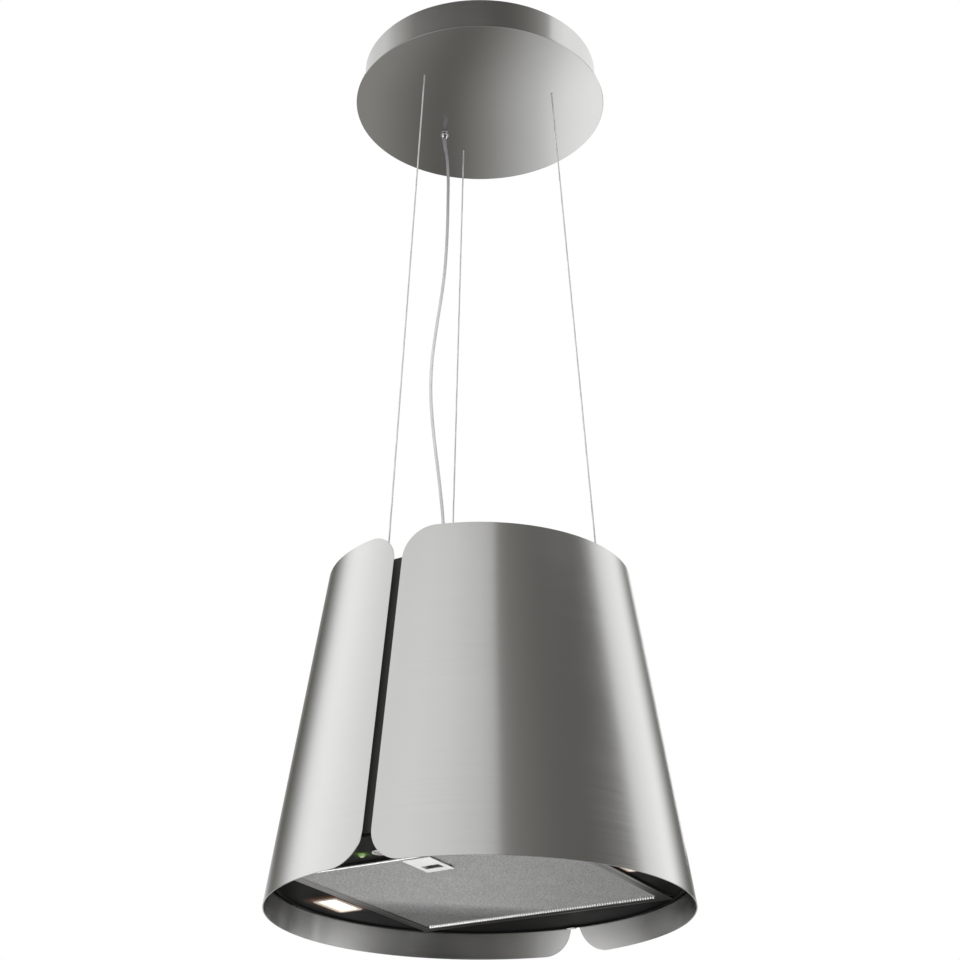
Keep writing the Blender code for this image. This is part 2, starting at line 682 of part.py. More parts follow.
# ----------------------------------------------------------------- grease filter
def make_grease_filter(hinge):
    """Frame, mesh, latch plate and latch, placed in the filter hinge's frame."""
    def local(x, y, height):
        return x, y - FILTER_BACK, height - FILTER_LOW

    width = FILTER_HALF_WIDTH
    sheet = 0.0010
    flange_top = FILTER_LOW + sheet
    high = FILTER_LOW + FILTER_DEPTH
    pan_x = width - PAN_INSET
    pan_front, pan_back = FILTER_FRONT + PAN_FRONT_INSET, FILTER_BACK - PAN_INSET
    flange = box(local(-width, FILTER_FRONT, FILTER_LOW), local(width, FILTER_BACK, flange_top))
    frame = add_object("filter_frame", flange, "filter_aluminium", hinge, smooth=False)
    pan = box(local(-pan_x, pan_front, FILTER_LOW + 0.0002), local(pan_x, pan_back, high))
    boolean(frame, add_object("frame_pan", pan, None, hinge, smooth=False), "UNION")
    well = box(local(-pan_x + sheet, pan_front + sheet, flange_top),
               local(pan_x - sheet, pan_back - sheet, high + 0.01))
    boolean(frame, add_object("frame_well_cut", well, None, hinge, smooth=False))
    mouth = box(local(-width + FILTER_SIDE_FLANGE, FILTER_FRONT + FILTER_FRONT_FLANGE,
                      FILTER_LOW - 0.01),
                local(width - FILTER_SIDE_FLANGE, FILTER_BACK - FILTER_BACK_FLANGE, high))
    boolean(frame, add_object("frame_mouth_cut", mouth, None, hinge, smooth=False))
    window = box(local(-0.009, pan_front - 0.004, 0.0327), local(0.009, pan_front + 0.004, 0.0355))
    boolean(frame, add_object("frame_latch_cut", window, None, hinge, smooth=False))
    tongues = boxes([(local(side * 0.1 - 0.012, pan_back - 0.0005, 0.0320),
                      local(side * 0.1 + 0.012, FILTER_BACK + 0.0040, 0.0335))
                     for side in (-1, 1)])
    boolean(frame, add_object("frame_tongues", tongues, None, hinge, smooth=False), "UNION")

    tube_x, tube_front, tube_back = 0.0125, -0.1050, -0.0830
    mesh_low = flange_top + CLEAR
    reach = sheet + CLEAR
    pad = box(local(-pan_x + reach, pan_front + reach, mesh_low),
              local(pan_x - reach, pan_back - reach, mesh_low + 0.0022))
    mesh = add_object("filter_mesh", pad, "filter_aluminium", hinge, smooth=False)
    clearance = box(local(-tube_x - 0.001, tube_front - 0.001, mesh_low - 0.01),
                    local(tube_x + 0.001, tube_back + 0.001, mesh_low + 0.01))
    boolean(mesh, add_object("mesh_latch_cut", clearance, None, hinge, smooth=False))

    plate_top = FILTER_LOW - CLEAR
    plate_box = box(local(-LATCH_HALF_WIDTH, LATCH_FRONT, LATCH_LOW),
                    local(LATCH_HALF_WIDTH, LATCH_BACK, plate_top))
    plate = add_object("latch_plate", plate_box, "brushed_steel", hinge, smooth=False)
    tube = box(local(-tube_x, tube_front, plate_top - 0.0004), local(tube_x, tube_back, 0.0325))
    boolean(plate, add_object("plate_tube", tube, None, hinge, smooth=False), "UNION")
    bore = box(local(-tube_x + 0.0015, tube_front + 0.0015, plate_top - 0.0001),
               local(tube_x - 0.0015, tube_back - 0.0015, 0.05))
    boolean(plate, add_object("plate_bore_cut", bore, None, hinge, smooth=False))
    slot = box(local(-0.0105, -0.1030, LATCH_LOW - 0.01), local(0.0105, -0.0910, plate_top + 0.001))
    boolean(plate, add_object("plate_slot_cut", slot, None, hinge, smooth=False))

    strip = box(local(-0.0080, FILTER_FRONT - 0.0005, 0.0330), local(0.0080, -0.0835, 0.0350))
    latch = add_object("latch_slider", strip, "black_plastic", hinge, smooth=False)
    tab = box(local(-0.0080, -0.0940, 0.0285), local(0.0080, -0.0915, 0.0340))
    boolean(latch, add_object("latch_tab", tab, None, hinge, smooth=False), "UNION")


# ------------------------------------------------------------------------ blower
def scroll_outline(shrink, duct_top):
    """Closed (y, z) outline of the blower scroll with its outlet going up."""
    front = -(SCROLL_MAX - shrink)
    back = SCROLL_MIN * math.sin(TONGUE_ANGLE) - shrink
    steps = 30
    end_angle = math.radians(270)
    points = [(back, duct_top), (back, (SCROLL_MIN - shrink) * math.cos(TONGUE_ANGLE))]
    for step in range(1, steps + 1):
        share = step / steps
        angle = TONGUE_ANGLE + (end_angle - TONGUE_ANGLE) * share
        radius = SCROLL_MIN + (SCROLL_MAX - SCROLL_MIN) * share - shrink
        points.append((radius * math.sin(angle), radius * math.cos(angle)))
    points.append((front, duct_top))
    return points


def make_blower_housing(side_name, side, fan):
    """Half of the blower housing, from its parting line to its side wall."""
    duct_top = DUCT_TOP - FAN_HEIGHT
    start = CLEAR / 2
    shell = prism_along_x(scroll_outline(0, duct_top), side * start, side * SCROLL_HALF_WIDTH)
    name = f"blower_housing_{side_name}"
    housing = add_object(name, shell, "black_plastic", fan)
    hollow = prism_along_x(scroll_outline(SCROLL_WALL, duct_top + 0.01), -side * 0.01,
                           side * (SCROLL_HALF_WIDTH - SCROLL_WALL))
    boolean(housing, add_object(f"{name}_hollow", hollow, None, fan, smooth=False))
    inlet = lying_along_x(rod(INLET_RADIUS, side * 0.05, side * 0.08, 40))
    boolean(housing, add_object(f"{name}_inlet", inlet, None, fan, smooth=False))


def make_impeller(fan):
    """Double-inlet wheel: two blade rows, end rings, a middle disc and a hub."""
    half = 0.052
    middle = [(SHAFT_RADIUS + CLEAR, -0.018), (0.012, -0.018), (0.012, -0.0015),
              (IMPELLER_RADIUS, -0.0015), (IMPELLER_RADIUS, 0.0015), (0.012, 0.0015),
              (0.012, 0.008), (SHAFT_RADIUS + CLEAR, 0.008)]
    wheel = add_object("impeller", lying_along_x(turned(middle, 32)), "fan_plastic", fan)
    blades = bmesh.new()
    for step in range(BLADE_COUNT):
        turn = Matrix.Rotation(2 * math.pi * (step + 0.5) / BLADE_COUNT, 4, "X")
        lean = Matrix.Rotation(math.radians(25), 4, "X")
        place = turn @ Matrix.Translation((0, 0, 0.0650)) @ lean
        size = Matrix.Diagonal((2 * half - 0.001, 0.0012, 0.0105, 1.0))
        bmesh.ops.create_cube(blades, size=1.0, matrix=place @ size)
    boolean(wheel, add_object("impeller_blades", blades, None, fan, smooth=False), "UNION")
    for side_name, side in (("left", -1), ("right", 1)):
        ring = [(0.0590, side * (half - 0.003)), (IMPELLER_RADIUS, side * (half - 0.003)),
                (IMPELLER_RADIUS, side * half), (0.0590, side * half)]
        tool = add_object(f"impeller_ring_{side_name}", lying_along_x(turned(ring, 32)), None,
                          fan, smooth=False)
        boolean(wheel, tool, "UNION")


def make_motor(fan):
    bore = SHAFT_RADIUS + 0.0005
    body = [(bore, 0.0100), (0.0380, 0.0100), (0.0420, 0.0140), (0.0420, 0.0620),
            (0.0380, 0.0660), (0, 0.0660), (0, 0.0300), (bore, 0.0300)]
    add_object("motor", lying_along_x(turned(body, 28)), "motor_steel", fan)
    shaft = [(0, -0.0200), (SHAFT_RADIUS, -0.0200), (SHAFT_RADIUS, 0.0280), (0, 0.0280)]
    add_object("motor_shaft", lying_along_x(turned(shaft, 16)), "chrome", fan)


def make_motor_bracket(fan):
    """Three-armed plate that carries the motor on the right side wall."""
    low = SCROLL_HALF_WIDTH + CLEAR
    outline = []
    arm_count = 3
    arm_reach, arm_half, hub = 0.074, 0.007, 0.034
    for arm in range(arm_count):
        heading = 2 * math.pi * arm / arm_count + math.radians(30)
        along = Vector((math.sin(heading), math.cos(heading)))
        across = Vector((along.y, -along.x))
        outline.append(tuple(along * arm_reach - across * arm_half))
        outline.append(tuple(along * arm_reach + across * arm_half))
        for step in range(1, 6):
            angle = heading + 2 * math.pi / arm_count * step / 6
            outline.append((hub * math.sin(angle), hub * math.cos(angle)))
    plate = prism_along_x(outline, low, low + 0.002)
    add_object("motor_bracket", plate, "zinc_steel", fan, smooth=False)


def make_blower_straps(parent):
    """L-shaped straps that hang the blower from the top plate."""
    top = TOP_PLATE_LOW - CLEAR
    for side_name, side in (("left", -1), ("right", 1)):
        inner = side * (SCROLL_HALF_WIDTH + CLEAR)
        outer = inner + side * 0.002
        flange = inner + side * 0.016
        outline = [(inner, 0.2600), (outer, 0.2600), (outer, top - 0.002), (flange, top - 0.002),
                   (flange, top), (inner, top)]
        bm = bmesh.new()
        front = [bm.verts.new((x, -0.080, z)) for x, z in outline]
        back = [bm.verts.new((x, -0.055, z)) for x, z in outline]
        bm.faces.new(front)
        bm.faces.new(back)
        for step in range(len(outline)):
            after = (step + 1) % len(outline)
            bm.faces.new((front[step], front[after], back[after], back[step]))
        add_object(f"blower_strap_{side_name}", bm, "zinc_steel", parent, smooth=False)


def make_inner_parts(parent):
    """Carbon filter over the outlet, electronics box and capacitor."""
    front, back = duct_edges()
    low = DUCT_TOP + CLEAR
    high = TOP_PLATE_LOW - CLEAR
    reach = SCROLL_HALF_WIDTH - 0.001
    cassette = tray((-reach, front, low), (reach, back, high), 0.006, opening_up=True)
    add_object("carbon_filter", cassette, "carbon", parent, smooth=False)
    shell = tray((-0.075, 0.045, high - 0.040), (0.045, 0.115, high), 0.002, opening_up=True)
    add_object("electronics_box", shell, "grey_plastic", parent, smooth=False)
    can = rod(0.016, high - 0.062, high, 20, (0.108, -0.060))
    add_object("capacitor", can, "white_plastic", parent)


# -------------------------------------------------------------------------- build
def main():
    clear_scene()
    ceiling = empty("ceiling_frame", (0, 0, 0))
    hood = empty("hood_frame", (0, 0, -DROP))
    fan = empty("fan_axis", (0, 0, FAN_HEIGHT), hood)
    hinge = empty("filter_hinge", (0, FILTER_BACK, FILTER_LOW), hood)

    make_ceiling_bracket(ceiling)
    make_canopy(ceiling)
    make_canopy_screws(ceiling)
    make_terminal_box(ceiling)
    make_wire_grippers(ceiling)
    make_upper_gland(ceiling)
    make_wires()
    make_power_cord()

    make_petal("petal_left", -1, hood)
    make_petal("petal_right", 1, hood)
    make_standoffs(hood)
    make_inner_casing(hood)
    make_bottom_panel(hood)
    make_top_plate(hood)
    make_wire_anchors(hood)
    make_lower_gland(hood)
    make_rear_clip(hood)
    make_lamp("left", -1, hood)
    make_lamp("right", 1, hood)
    make_controls(hood)
    make_grease_filter(hinge)

    make_blower_housing("left", -1, fan)
    make_blower_housing("right", 1, fan)
    make_impeller(fan)
    make_motor(fan)
    make_motor_bracket(fan)
    make_blower_straps(hood)
    make_inner_parts(hood)


main()
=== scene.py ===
"""Looks of the island range hood: a hood of two curved steel petals on three wires.

Frame: metres, +Z up, the ceiling face at z = 0 and the hood's lower rim at
z = -DROP. Azimuths are counted from -Y towards +X. Heights named "height" are
above the hood's lower rim.
"""
import math
import random

import bmesh
import bpy
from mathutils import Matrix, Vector


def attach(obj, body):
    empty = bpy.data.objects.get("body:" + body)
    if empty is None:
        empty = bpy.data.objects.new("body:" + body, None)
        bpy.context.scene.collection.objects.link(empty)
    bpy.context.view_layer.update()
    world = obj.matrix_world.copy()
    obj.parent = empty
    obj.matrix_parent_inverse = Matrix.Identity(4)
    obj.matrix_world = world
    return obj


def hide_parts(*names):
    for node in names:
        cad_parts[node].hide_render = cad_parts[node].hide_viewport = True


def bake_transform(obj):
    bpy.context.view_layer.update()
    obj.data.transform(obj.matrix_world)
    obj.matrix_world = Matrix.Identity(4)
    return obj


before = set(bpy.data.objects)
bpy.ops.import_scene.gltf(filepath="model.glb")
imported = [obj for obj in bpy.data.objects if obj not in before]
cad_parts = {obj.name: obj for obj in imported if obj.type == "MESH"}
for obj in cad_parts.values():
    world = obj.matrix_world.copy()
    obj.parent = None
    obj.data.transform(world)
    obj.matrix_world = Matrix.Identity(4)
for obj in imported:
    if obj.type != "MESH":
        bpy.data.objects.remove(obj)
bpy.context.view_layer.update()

# ------------------------------------------------------------------ sizes, as in the CAD
DROP = 1.084
HOOD_HEIGHT = 0.369
HOOD_BOTTOM_RADIUS = 0.225
HOOD_TOP_RADIUS = 0.169
PETAL_SHEET = 0.0012
PETAL_SLOT = 0.010
PETAL_CORNER = 0.035
PANEL_LOW = 0.0292
PANEL_SHEET = 0.0015
PANEL_RADIUS = 0.2176
PANEL_LIP = 0.0040
PANEL_LIP_DROP = 0.0015
FILTER_HALF_WIDTH = 0.154
FILTER_FRONT = -0.135
FILTER_BACK = 0.147
FILTER_LOW = 0.0268
FILTER_TOP = 0.0368
SIDE_FLANGE, FRONT_FLANGE, BACK_FLANGE = 0.012, 0.005, 0.018
PAN_INSET = 0.006
PAN_FRONT_INSET = 0.002
MESH_LOW = 0.0281
LATCH_WELL_Y = -0.0940
LATCH_WELL_HALF_X, LATCH_WELL_HALF_Y = 0.0125, 0.0110
LAMP_X = 0.1755
LAMP_Y = -0.0025
LAMP_HALF_WIDTH = 0.0160
LAMP_HALF_LENGTH = 0.0285
LAMP_FRAME = 0.0048
CONTROL_Y = -0.161
CONTROL_PITCH = 0.0215
CONTROL_STEPS = range(-2, 3)
INDICATOR_STEP = -2
INDICATOR_X = INDICATOR_STEP * CONTROL_PITCH
INDICATOR_HOLE, KEY_HOLE = 0.0039, 0.0064
CANOPY_LOW = -0.050
CANOPY_DISC_RADIUS = 0.1576
CANOPY_WALL_RADIUS = 0.1475
CANOPY_SHEET = 0.0012
CANOPY_SCREW_AZIMUTHS = (122.5, -57.5)
CANOPY_SCREW_HEIGHT = -0.007
SCREW_HOLE, WIRE_HOLE, CORD_HOLE = 0.0022, 0.0013, 0.0040
WIRE_RADIUS = 0.0010
WIRE_CANOPY_RADIUS = 0.0947
WIRE_CANOPY_AZIMUTHS = (-17.4, 102.6, 222.6)
WIRE_HOOD_RADIUS = 0.138
WIRE_HOOD_AZIMUTHS = (-17.0, 102.9, 224.6)
WIRE_TOP = -0.0303
WIRE_BOTTOM = -0.7390
WIRE_ANCHOR = -0.7393
TOP_PLATE_HEIGHT = 0.3368
CORD_RADIUS = 0.0019
CORD_SPACING = 0.0095
CORD_ROUTE = (
    (-0.0690, 0.0280, -0.0558), (-0.0682, 0.0282, -0.0680), (-0.0660, 0.0288, -0.0830),
    (-0.0645, 0.0290, -0.1000), (-0.0634, 0.0290, -0.1240), (-0.0630, 0.0282, -0.1550),
    (-0.0628, 0.0274, -0.1860), (-0.0630, 0.0263, -0.2170), (-0.0637, 0.0249, -0.2480),
    (-0.0652, 0.0231, -0.2780), (-0.0676, 0.0208, -0.3070), (-0.0704, 0.0184, -0.3360),
    (-0.0731, 0.0160, -0.3660), (-0.0750, 0.0140, -0.3940), (-0.0757, 0.0127, -0.4230),
    (-0.0750, 0.0124, -0.4510), (-0.0730, 0.0126, -0.4780), (-0.0703, 0.0133, -0.5060),
    (-0.0672, 0.0142, -0.5330), (-0.0641, 0.0151, -0.5600), (-0.0612, 0.0158, -0.5870),
    (-0.0588, 0.0162, -0.6130), (-0.0566, 0.0163, -0.6420), (-0.0548, 0.0162, -0.6720),
    (-0.0534, 0.0160, -0.7050), (-0.0530, 0.0160, -0.7249),
)

# The camera stands at this azimuth, and the light is laid out about it.
VIEW_AZIMUTH = 29.5
CAMERA_PLACE = (0.968, -1.711, -1.557)
CAMERA_LOOK = (-0.4412, 0.7799, 0.4441)
FOCAL_LENGTH = 71.2
FLOOR = -3.4


# ------------------------------------------------------------------------- materials
class Nodes:
    """A node tree being put together."""

    def __init__(self, tree):
        self.tree = tree

    def node(self, kind, **settings):
        item = self.tree.nodes.new(kind)
        for key, value in settings.items():
            setattr(item, key, value)
        return item

    def feed(self, socket, value):
        """Link value to the socket, or set it there where it is a plain one."""
        if isinstance(value, bpy.types.NodeSocket):
            self.tree.links.new(value, socket)
        else:
            socket.default_value = value

    def filled(self, kind, *values, **settings):
        """Node with its first inputs filled in order."""
        item = self.node(kind, **settings)
        for socket, value in zip(item.inputs, values):
            self.feed(socket, value)
        return item

    def math(self, operation, *values):
        return self.filled("ShaderNodeMath", *values, operation=operation).outputs[0]

    def vector_math(self, operation, *values):
        return self.filled("ShaderNodeVectorMath", *values, operation=operation).outputs["Value"]

    def parts(self, vector):
        return self.filled("ShaderNodeSeparateXYZ", vector).outputs

    def ramp(self, value, stops):
        """Colour ramp over 0 to 1; stops are (position, grey or colour)."""
        item = self.filled("ShaderNodeValToRGB", value)
        elements = item.color_ramp.elements
        for place, shade in stops[2:]:
            elements.new(place)
        for element, (place, shade) in zip(elements, stops):
            element.position = place
            element.color = (*((shade,) * 3 if isinstance(shade, (int, float)) else shade), 1.0)
        return item.outputs["Color"]

    def spread(self, value, low, high, to_low=0.0, to_high=1.0, way="LINEAR"):
        """Value from low to high, stretched to run from to_low to to_high."""
        return self.filled("ShaderNodeMapRange", value, low, high, to_low, to_high,
                           interpolation_type=way).outputs["Result"]

    def mix(self, first, second, blend="MULTIPLY", factor=1.0):
        item = self.node("ShaderNodeMix", data_type="RGBA", blend_type=blend)
        for socket, value in ((item.inputs[0], factor), (item.inputs[6], first),
                              (item.inputs[7], second)):
            self.feed(socket, value)
        return item.outputs[2]

    def azimuth(self, vector, turn):
        """Azimuth of a direction or place less turn degrees, as 0 to 1 round the circle."""
        spin = self.node("ShaderNodeVectorRotate", rotation_type="Z_AXIS")
        self.feed(spin.inputs["Angle"], math.radians(-turn))
        self.feed(spin.inputs["Vector"], vector)
        parts = self.parts(spin.outputs["Vector"])
        angle = self.math("ARCTAN2", parts["X"], self.math("MULTIPLY", parts["Y"], -1.0))
        return self.math("MULTIPLY_ADD", angle, 1 / (2 * math.pi), 0.5)


class Surface(Nodes):
    """A node material being put together round one Principled shader."""

    def __init__(self, name, **inputs):
        self.material = bpy.data.materials.new(name)
        self.material.use_nodes = True
        super().__init__(self.material.node_tree)
        self.sockets = self.tree.nodes["Principled BSDF"].inputs
        self.place = self.node("ShaderNodeTexCoord").outputs["Object"]
        self.normal = None
        for socket, value in inputs.items():
            self.feed(self.sockets[socket.replace("_", " ")], value)

    def texture(self, kind, scale, turn=(0, 0, 0)):
        """Texture over object coordinates, scaled evenly or per axis and turned by degrees."""
        mapping = self.node("ShaderNodeMapping")
        self.feed(mapping.inputs["Scale"], (scale,) * 3 if isinstance(scale, (int, float)) else scale)
        self.feed(mapping.inputs["Rotation"], [math.radians(angle) for angle in turn])
        self.feed(mapping.inputs["Vector"], self.place)
        item = self.node(kind)
        self.feed(item.inputs["Scale"], 1.0)
        self.feed(item.inputs["Vector"], mapping.outputs["Vector"])
        return item

    def noise(self, scale, detail=2.0, turn=(0, 0, 0)):
        item = self.texture("ShaderNodeTexNoise", scale, turn)
        self.feed(item.inputs["Detail"], detail)
        return item.outputs["Fac"]

    def cells(self, scale, output="Distance"):
        return self.texture("ShaderNodeTexVoronoi", scale).outputs[output]

    def colour(self, source):
        self.feed(self.sockets["Base Color"], source)

    def rough(self, value, low, high, from_low=0.3, from_high=0.7):
        self.feed(self.sockets["Roughness"], self.spread(value, from_low, from_high, low, high))

    def bump(self, height, depth, strength=1.0):
        """Relief from a height, on top of any relief that is there already."""
        item = self.node("ShaderNodeBump")
        self.feed(item.inputs["Distance"], depth)
        self.feed(item.inputs["Strength"], strength)
        self.feed(item.inputs["Height"], height)
        if self.normal:
            self.feed(item.inputs["Normal"], self.normal)
        self.normal = item.outputs["Normal"]
        self.feed(self.sockets["Normal"], self.normal)

    def glow(self, colour, strength=1.0):
        self.feed(self.sockets["Emission Color"], colour)
        self.feed(self.sockets["Emission Strength"], strength)


def scaled(table, low, high):
    """Pairs of (place, value) with the places between low and high turned to 0 to 1."""
    return [((place - low) / (high - low), value) for place, value in table]


def shades(base, *factors):
    return [[channel * factor for channel in base] for factor in factors]


def brushed_steel(name, base, grain_scale, turn=(0, 0, 0), roughness=(0.17, 0.25),
                  anisotropy=0.75, smudge=0.02):
    """Satin stainless steel with a drawn grain, faint handling marks and cloudiness."""
    surface = Surface(name, Metallic=1.0, Anisotropic=anisotropy)
    grain = surface.noise(grain_scale, 3.0, turn)
    coarse = surface.noise([size * 0.28 for size in grain_scale], 1.0, turn)
    cloud = surface.noise((9, 9, 7), 3.0)
    dark, light = shades(base, 0.976, 1.006)
    tone = surface.ramp(grain, [(0.30, dark), (0.70, light)])
    streak = surface.ramp(coarse, [(0.35, 0.986), (0.65, 0.996)])
    haze = surface.ramp(cloud, [(0.35, 1.0 - smudge), (0.65, 1.0)])
    surface.colour(surface.mix(surface.mix(tone, streak), haze))
    surface.rough(surface.mix(grain, cloud, "MIX", 0.35), *roughness)
    surface.bump(grain, 0.000006, 0.25)
    tangent = surface.node("ShaderNodeTangent", direction_type="UV_MAP", uv_map="grain")
    surface.feed(surface.sockets["Tangent"], tangent.outputs["Tangent"])
    return surface.material


def painted_shade(surface, colour, along, stops):
    """Painted shade: colour scaled by the ramp stops over the place's reach along a direction, in
    metres.
    """
    low, high = stops[0][0], stops[-1][0]
    share = surface.spread(surface.vector_math("DOT_PRODUCT", surface.place, along), low, high)
    return surface.mix(colour, surface.ramp(share, scaled(stops, low, high)))


def plain_metal(name, base, roughness, scale=140.0, relief=0.00002, contrast=0.10, metallic=1.0,
                shade_grades=()):
    """Metal with fine casting or rolling texture and light scratches, and painted shade from the
    grades given.
    """
    surface = Surface(name, Metallic=metallic)
    fine = surface.noise(scale, 4.0)
    scratch = surface.noise((900, 40, 500), 2.0, (12, 25, 40))
    wear = surface.noise(38, 3.0)
    tone = surface.ramp(fine, [(0.3, *shades(base, 1 - contrast)), (0.7, base)])
    colour = surface.mix(tone, surface.ramp(wear, [(0.38, 0.94), (0.62, 1.0)]))
    for along, stops in shade_grades:
        colour = painted_shade(surface, colour, along, stops)
    surface.colour(colour)
    surface.rough(surface.mix(scratch, wear, "MIX", 0.5), *roughness)
    surface.bump(fine, relief)
    surface.bump(scratch, relief * 0.4, 0.6)
    return surface.material


def galvanised(name):
    """Zinc-coated sheet with crystal spangle."""
    surface = Surface(name, Metallic=0.9)
    spangle = surface.cells(85, "Color")
    grey = surface.filled("ShaderNodeRGBToBW", spangle).outputs["Val"]
    tone = surface.ramp(grey, [(0.1, (0.44, 0.46, 0.48)), (0.9, (0.64, 0.66, 0.67))])
    stain = surface.ramp(surface.noise(22, 4.0), [(0.4, 0.86), (0.6, 1.0)])
    surface.colour(surface.mix(tone, stain))
    surface.rough(grey, 0.28, 0.48, 0.1, 0.9)
    surface.bump(surface.noise(420), 0.00002)
    return surface.material


def moulded(name, base, roughness=(0.38, 0.52), texture=700.0, relief=0.00003, lift=0.0):
    """Moulded plastic or stoved paint: fine orange peel, dust and tone variation.

    lift stands for the stray light that reaches a narrow dark gap.
    """
    surface = Surface(name, Emission_Color=(lift, lift, lift, 1), Emission_Strength=1.0)
    cloud = surface.noise(26, 4.0)
    dark, light = shades(base, 0.88, 1.06)
    tone = surface.ramp(cloud, [(0.36, dark), (0.64, light)])
    speck = surface.ramp(surface.noise(texture * 2.2, 1.0), [(0.45, 0.96), (0.62, 1.0)])
    surface.colour(surface.mix(tone, speck))
    surface.rough(cloud, *roughness)
    surface.bump(surface.cells(texture), relief, 0.7)
    return surface.material


def spill(surface, x, y, half_width, half_length, reach, colour):
    """Light that spills from a small lamp onto the surface round it, as a soft oval.

    The lamp is a rectangle about (x, y); reach is how far its glow runs past it.
    """
    parts = surface.parts(surface.place)
    past = surface.node("ShaderNodeCombineXYZ")
    for axis, centre, half in (("X", x, half_width), ("Y", y, half_length)):
        size = surface.math("ABSOLUTE", surface.math("SUBTRACT", parts[axis], centre))
        beyond = surface.math("SUBTRACT", size, half)
        surface.feed(past.inputs[axis], surface.math("MAXIMUM", beyond, 0.0))
    share = surface.spread(surface.vector_math("LENGTH", past.outputs[0]), 0.0, reach)
    near, middle = shades(colour, 0.42, 0.12)
    return surface.ramp(share, [(0.0, colour), (0.25, near), (0.55, middle), (1.0, 0.0)])


def lamp_spill(surface, inset, reach, colour):
    """Warm light round both lenses, from inset inside the lamp's outer edge."""
    half_x, half_y = LAMP_HALF_WIDTH - inset, LAMP_HALF_LENGTH - inset
    both = [spill(surface, side * LAMP_X, LAMP_Y, half_x, half_y, reach, colour)
            for side in (-1, 1)]
    return surface.mix(*both, "ADD")


def panel_paint():
    """Satin black stoved paint, lit a little round the lamps and the indicator."""
    surface = Surface("panel_black", Specular_IOR_Level=0.025)
    cloud = surface.noise(18, 4.0)
    surface.colour(surface.ramp(cloud, [(0.36, (0.0020, 0.0020, 0.0020)),
                                        (0.64, (0.0034, 0.0033, 0.0033))]))
    surface.rough(cloud, 0.30, 0.42)
    surface.bump(surface.cells(900), 0.00003, 0.6)
    warm = lamp_spill(surface, LAMP_FRAME, 0.017, (0.28, 0.125, 0.058))
    green = spill(surface, INDICATOR_X, CONTROL_Y, 0.0024, 0.0024, 0.0090,
                  (0.085, 0.170, 0.030))
    surface.glow(surface.mix(warm, green, "ADD"))
    return surface.material


def bezel_steel():
    """Polished lamp bezel that catches the light of its own lens."""
    surface = Surface("lamp_bezel_polished", Metallic=0.9)
    fine = surface.noise(420, 3.0)
    surface.colour(surface.ramp(fine, [(0.3, (0.66, 0.65, 0.63)), (0.7, (0.74, 0.73, 0.71))]))
    surface.rough(fine, 0.12, 0.24)
    surface.bump(fine, 0.000006, 0.5)
    surface.glow(lamp_spill(surface, LAMP_FRAME, 0.006, (0.60, 0.42, 0.29)))
    return surface.material


def cord_sheath():
    """Grey PVC sheath: fine peel and dust, and painted shade that darkens it close under the canopy.
    """
    surface = Surface("cord_sheath", Specular_IOR_Level=0.4)
    peel = surface.cells(1500)
    dust = surface.ramp(surface.noise((90, 90, 40), 3.0), [(0.35, 0.92), (0.65, 1.0)])
    tone = surface.ramp(peel, [(0.1, (0.47, 0.45, 0.48)), (0.8, (0.50, 0.48, 0.505))])
    # darker towards the canopy: painted shade
    surface.colour(painted_shade(surface, surface.mix(tone, dust), (0, 0, -1),
                          [(0.05, 0.38), (0.14, 0.52), (0.30, 0.86), (0.40, 1.0)]))
    surface.rough(peel, 0.36, 0.50)
    surface.bump(peel, 0.00001, 0.6)
    return surface.material


def lamp_glass():
    """Frosted lens lit from behind: near white, warmer towards its edges."""
    surface = Surface("lamp_lens_lit", Base_Color=(0.9, 0.86, 0.8, 1), Roughness=0.35)
    ribs = surface.cells((420, 420, 60))
    middle = surface.mix(*[spill(surface, side * LAMP_X, LAMP_Y, 0.0030, 0.0120, 0.0160,
                                 (0.62, 0.78, 0.80)) for side in (-1, 1)], "ADD")
    edge = surface.ramp(ribs, [(0.1, (0.98, 0.72, 0.50)), (0.8, (0.90, 0.62, 0.40))])
    surface.glow(surface.mix(edge, middle, "ADD"), 0.85)
    surface.bump(ribs, 0.0001, 0.5)
    return surface.material


def indicator_glass():
    """Small clear dome over a green LED: pale in the middle, deep green at the rim."""
    surface = Surface("indicator_lit", Base_Color=(0.06, 0.09, 0.04, 1), Roughness=0.3)
    cloud = surface.cells(500)
    middle = spill(surface, INDICATOR_X, CONTROL_Y, 0.0008, 0.0008, 0.0040, (0.38, 0.42, 0.24))
    rim = surface.ramp(cloud, [(0.1, (0.14, 0.25, 0.07)), (0.8, (0.10, 0.19, 0.05))])
    surface.glow(surface.mix(rim, middle, "ADD"), 0.8)
    surface.bump(cloud, 0.00005, 0.5)
    return surface.material


def granular():
    """Packed carbon granules behind a coarse fleece."""
    surface = Surface("carbon_granules", Specular_IOR_Level=0.3)
    grains = surface.cells(430)
    surface.colour(surface.ramp(grains, [(0.05, (0.0150, 0.0150, 0.0155)),
                                         (0.6, (0.030, 0.030, 0.031))]))
    surface.rough(grains, 0.55, 0.85, 0.0, 0.8)
    surface.bump(grains, 0.0006, 0.9)
    return surface.material
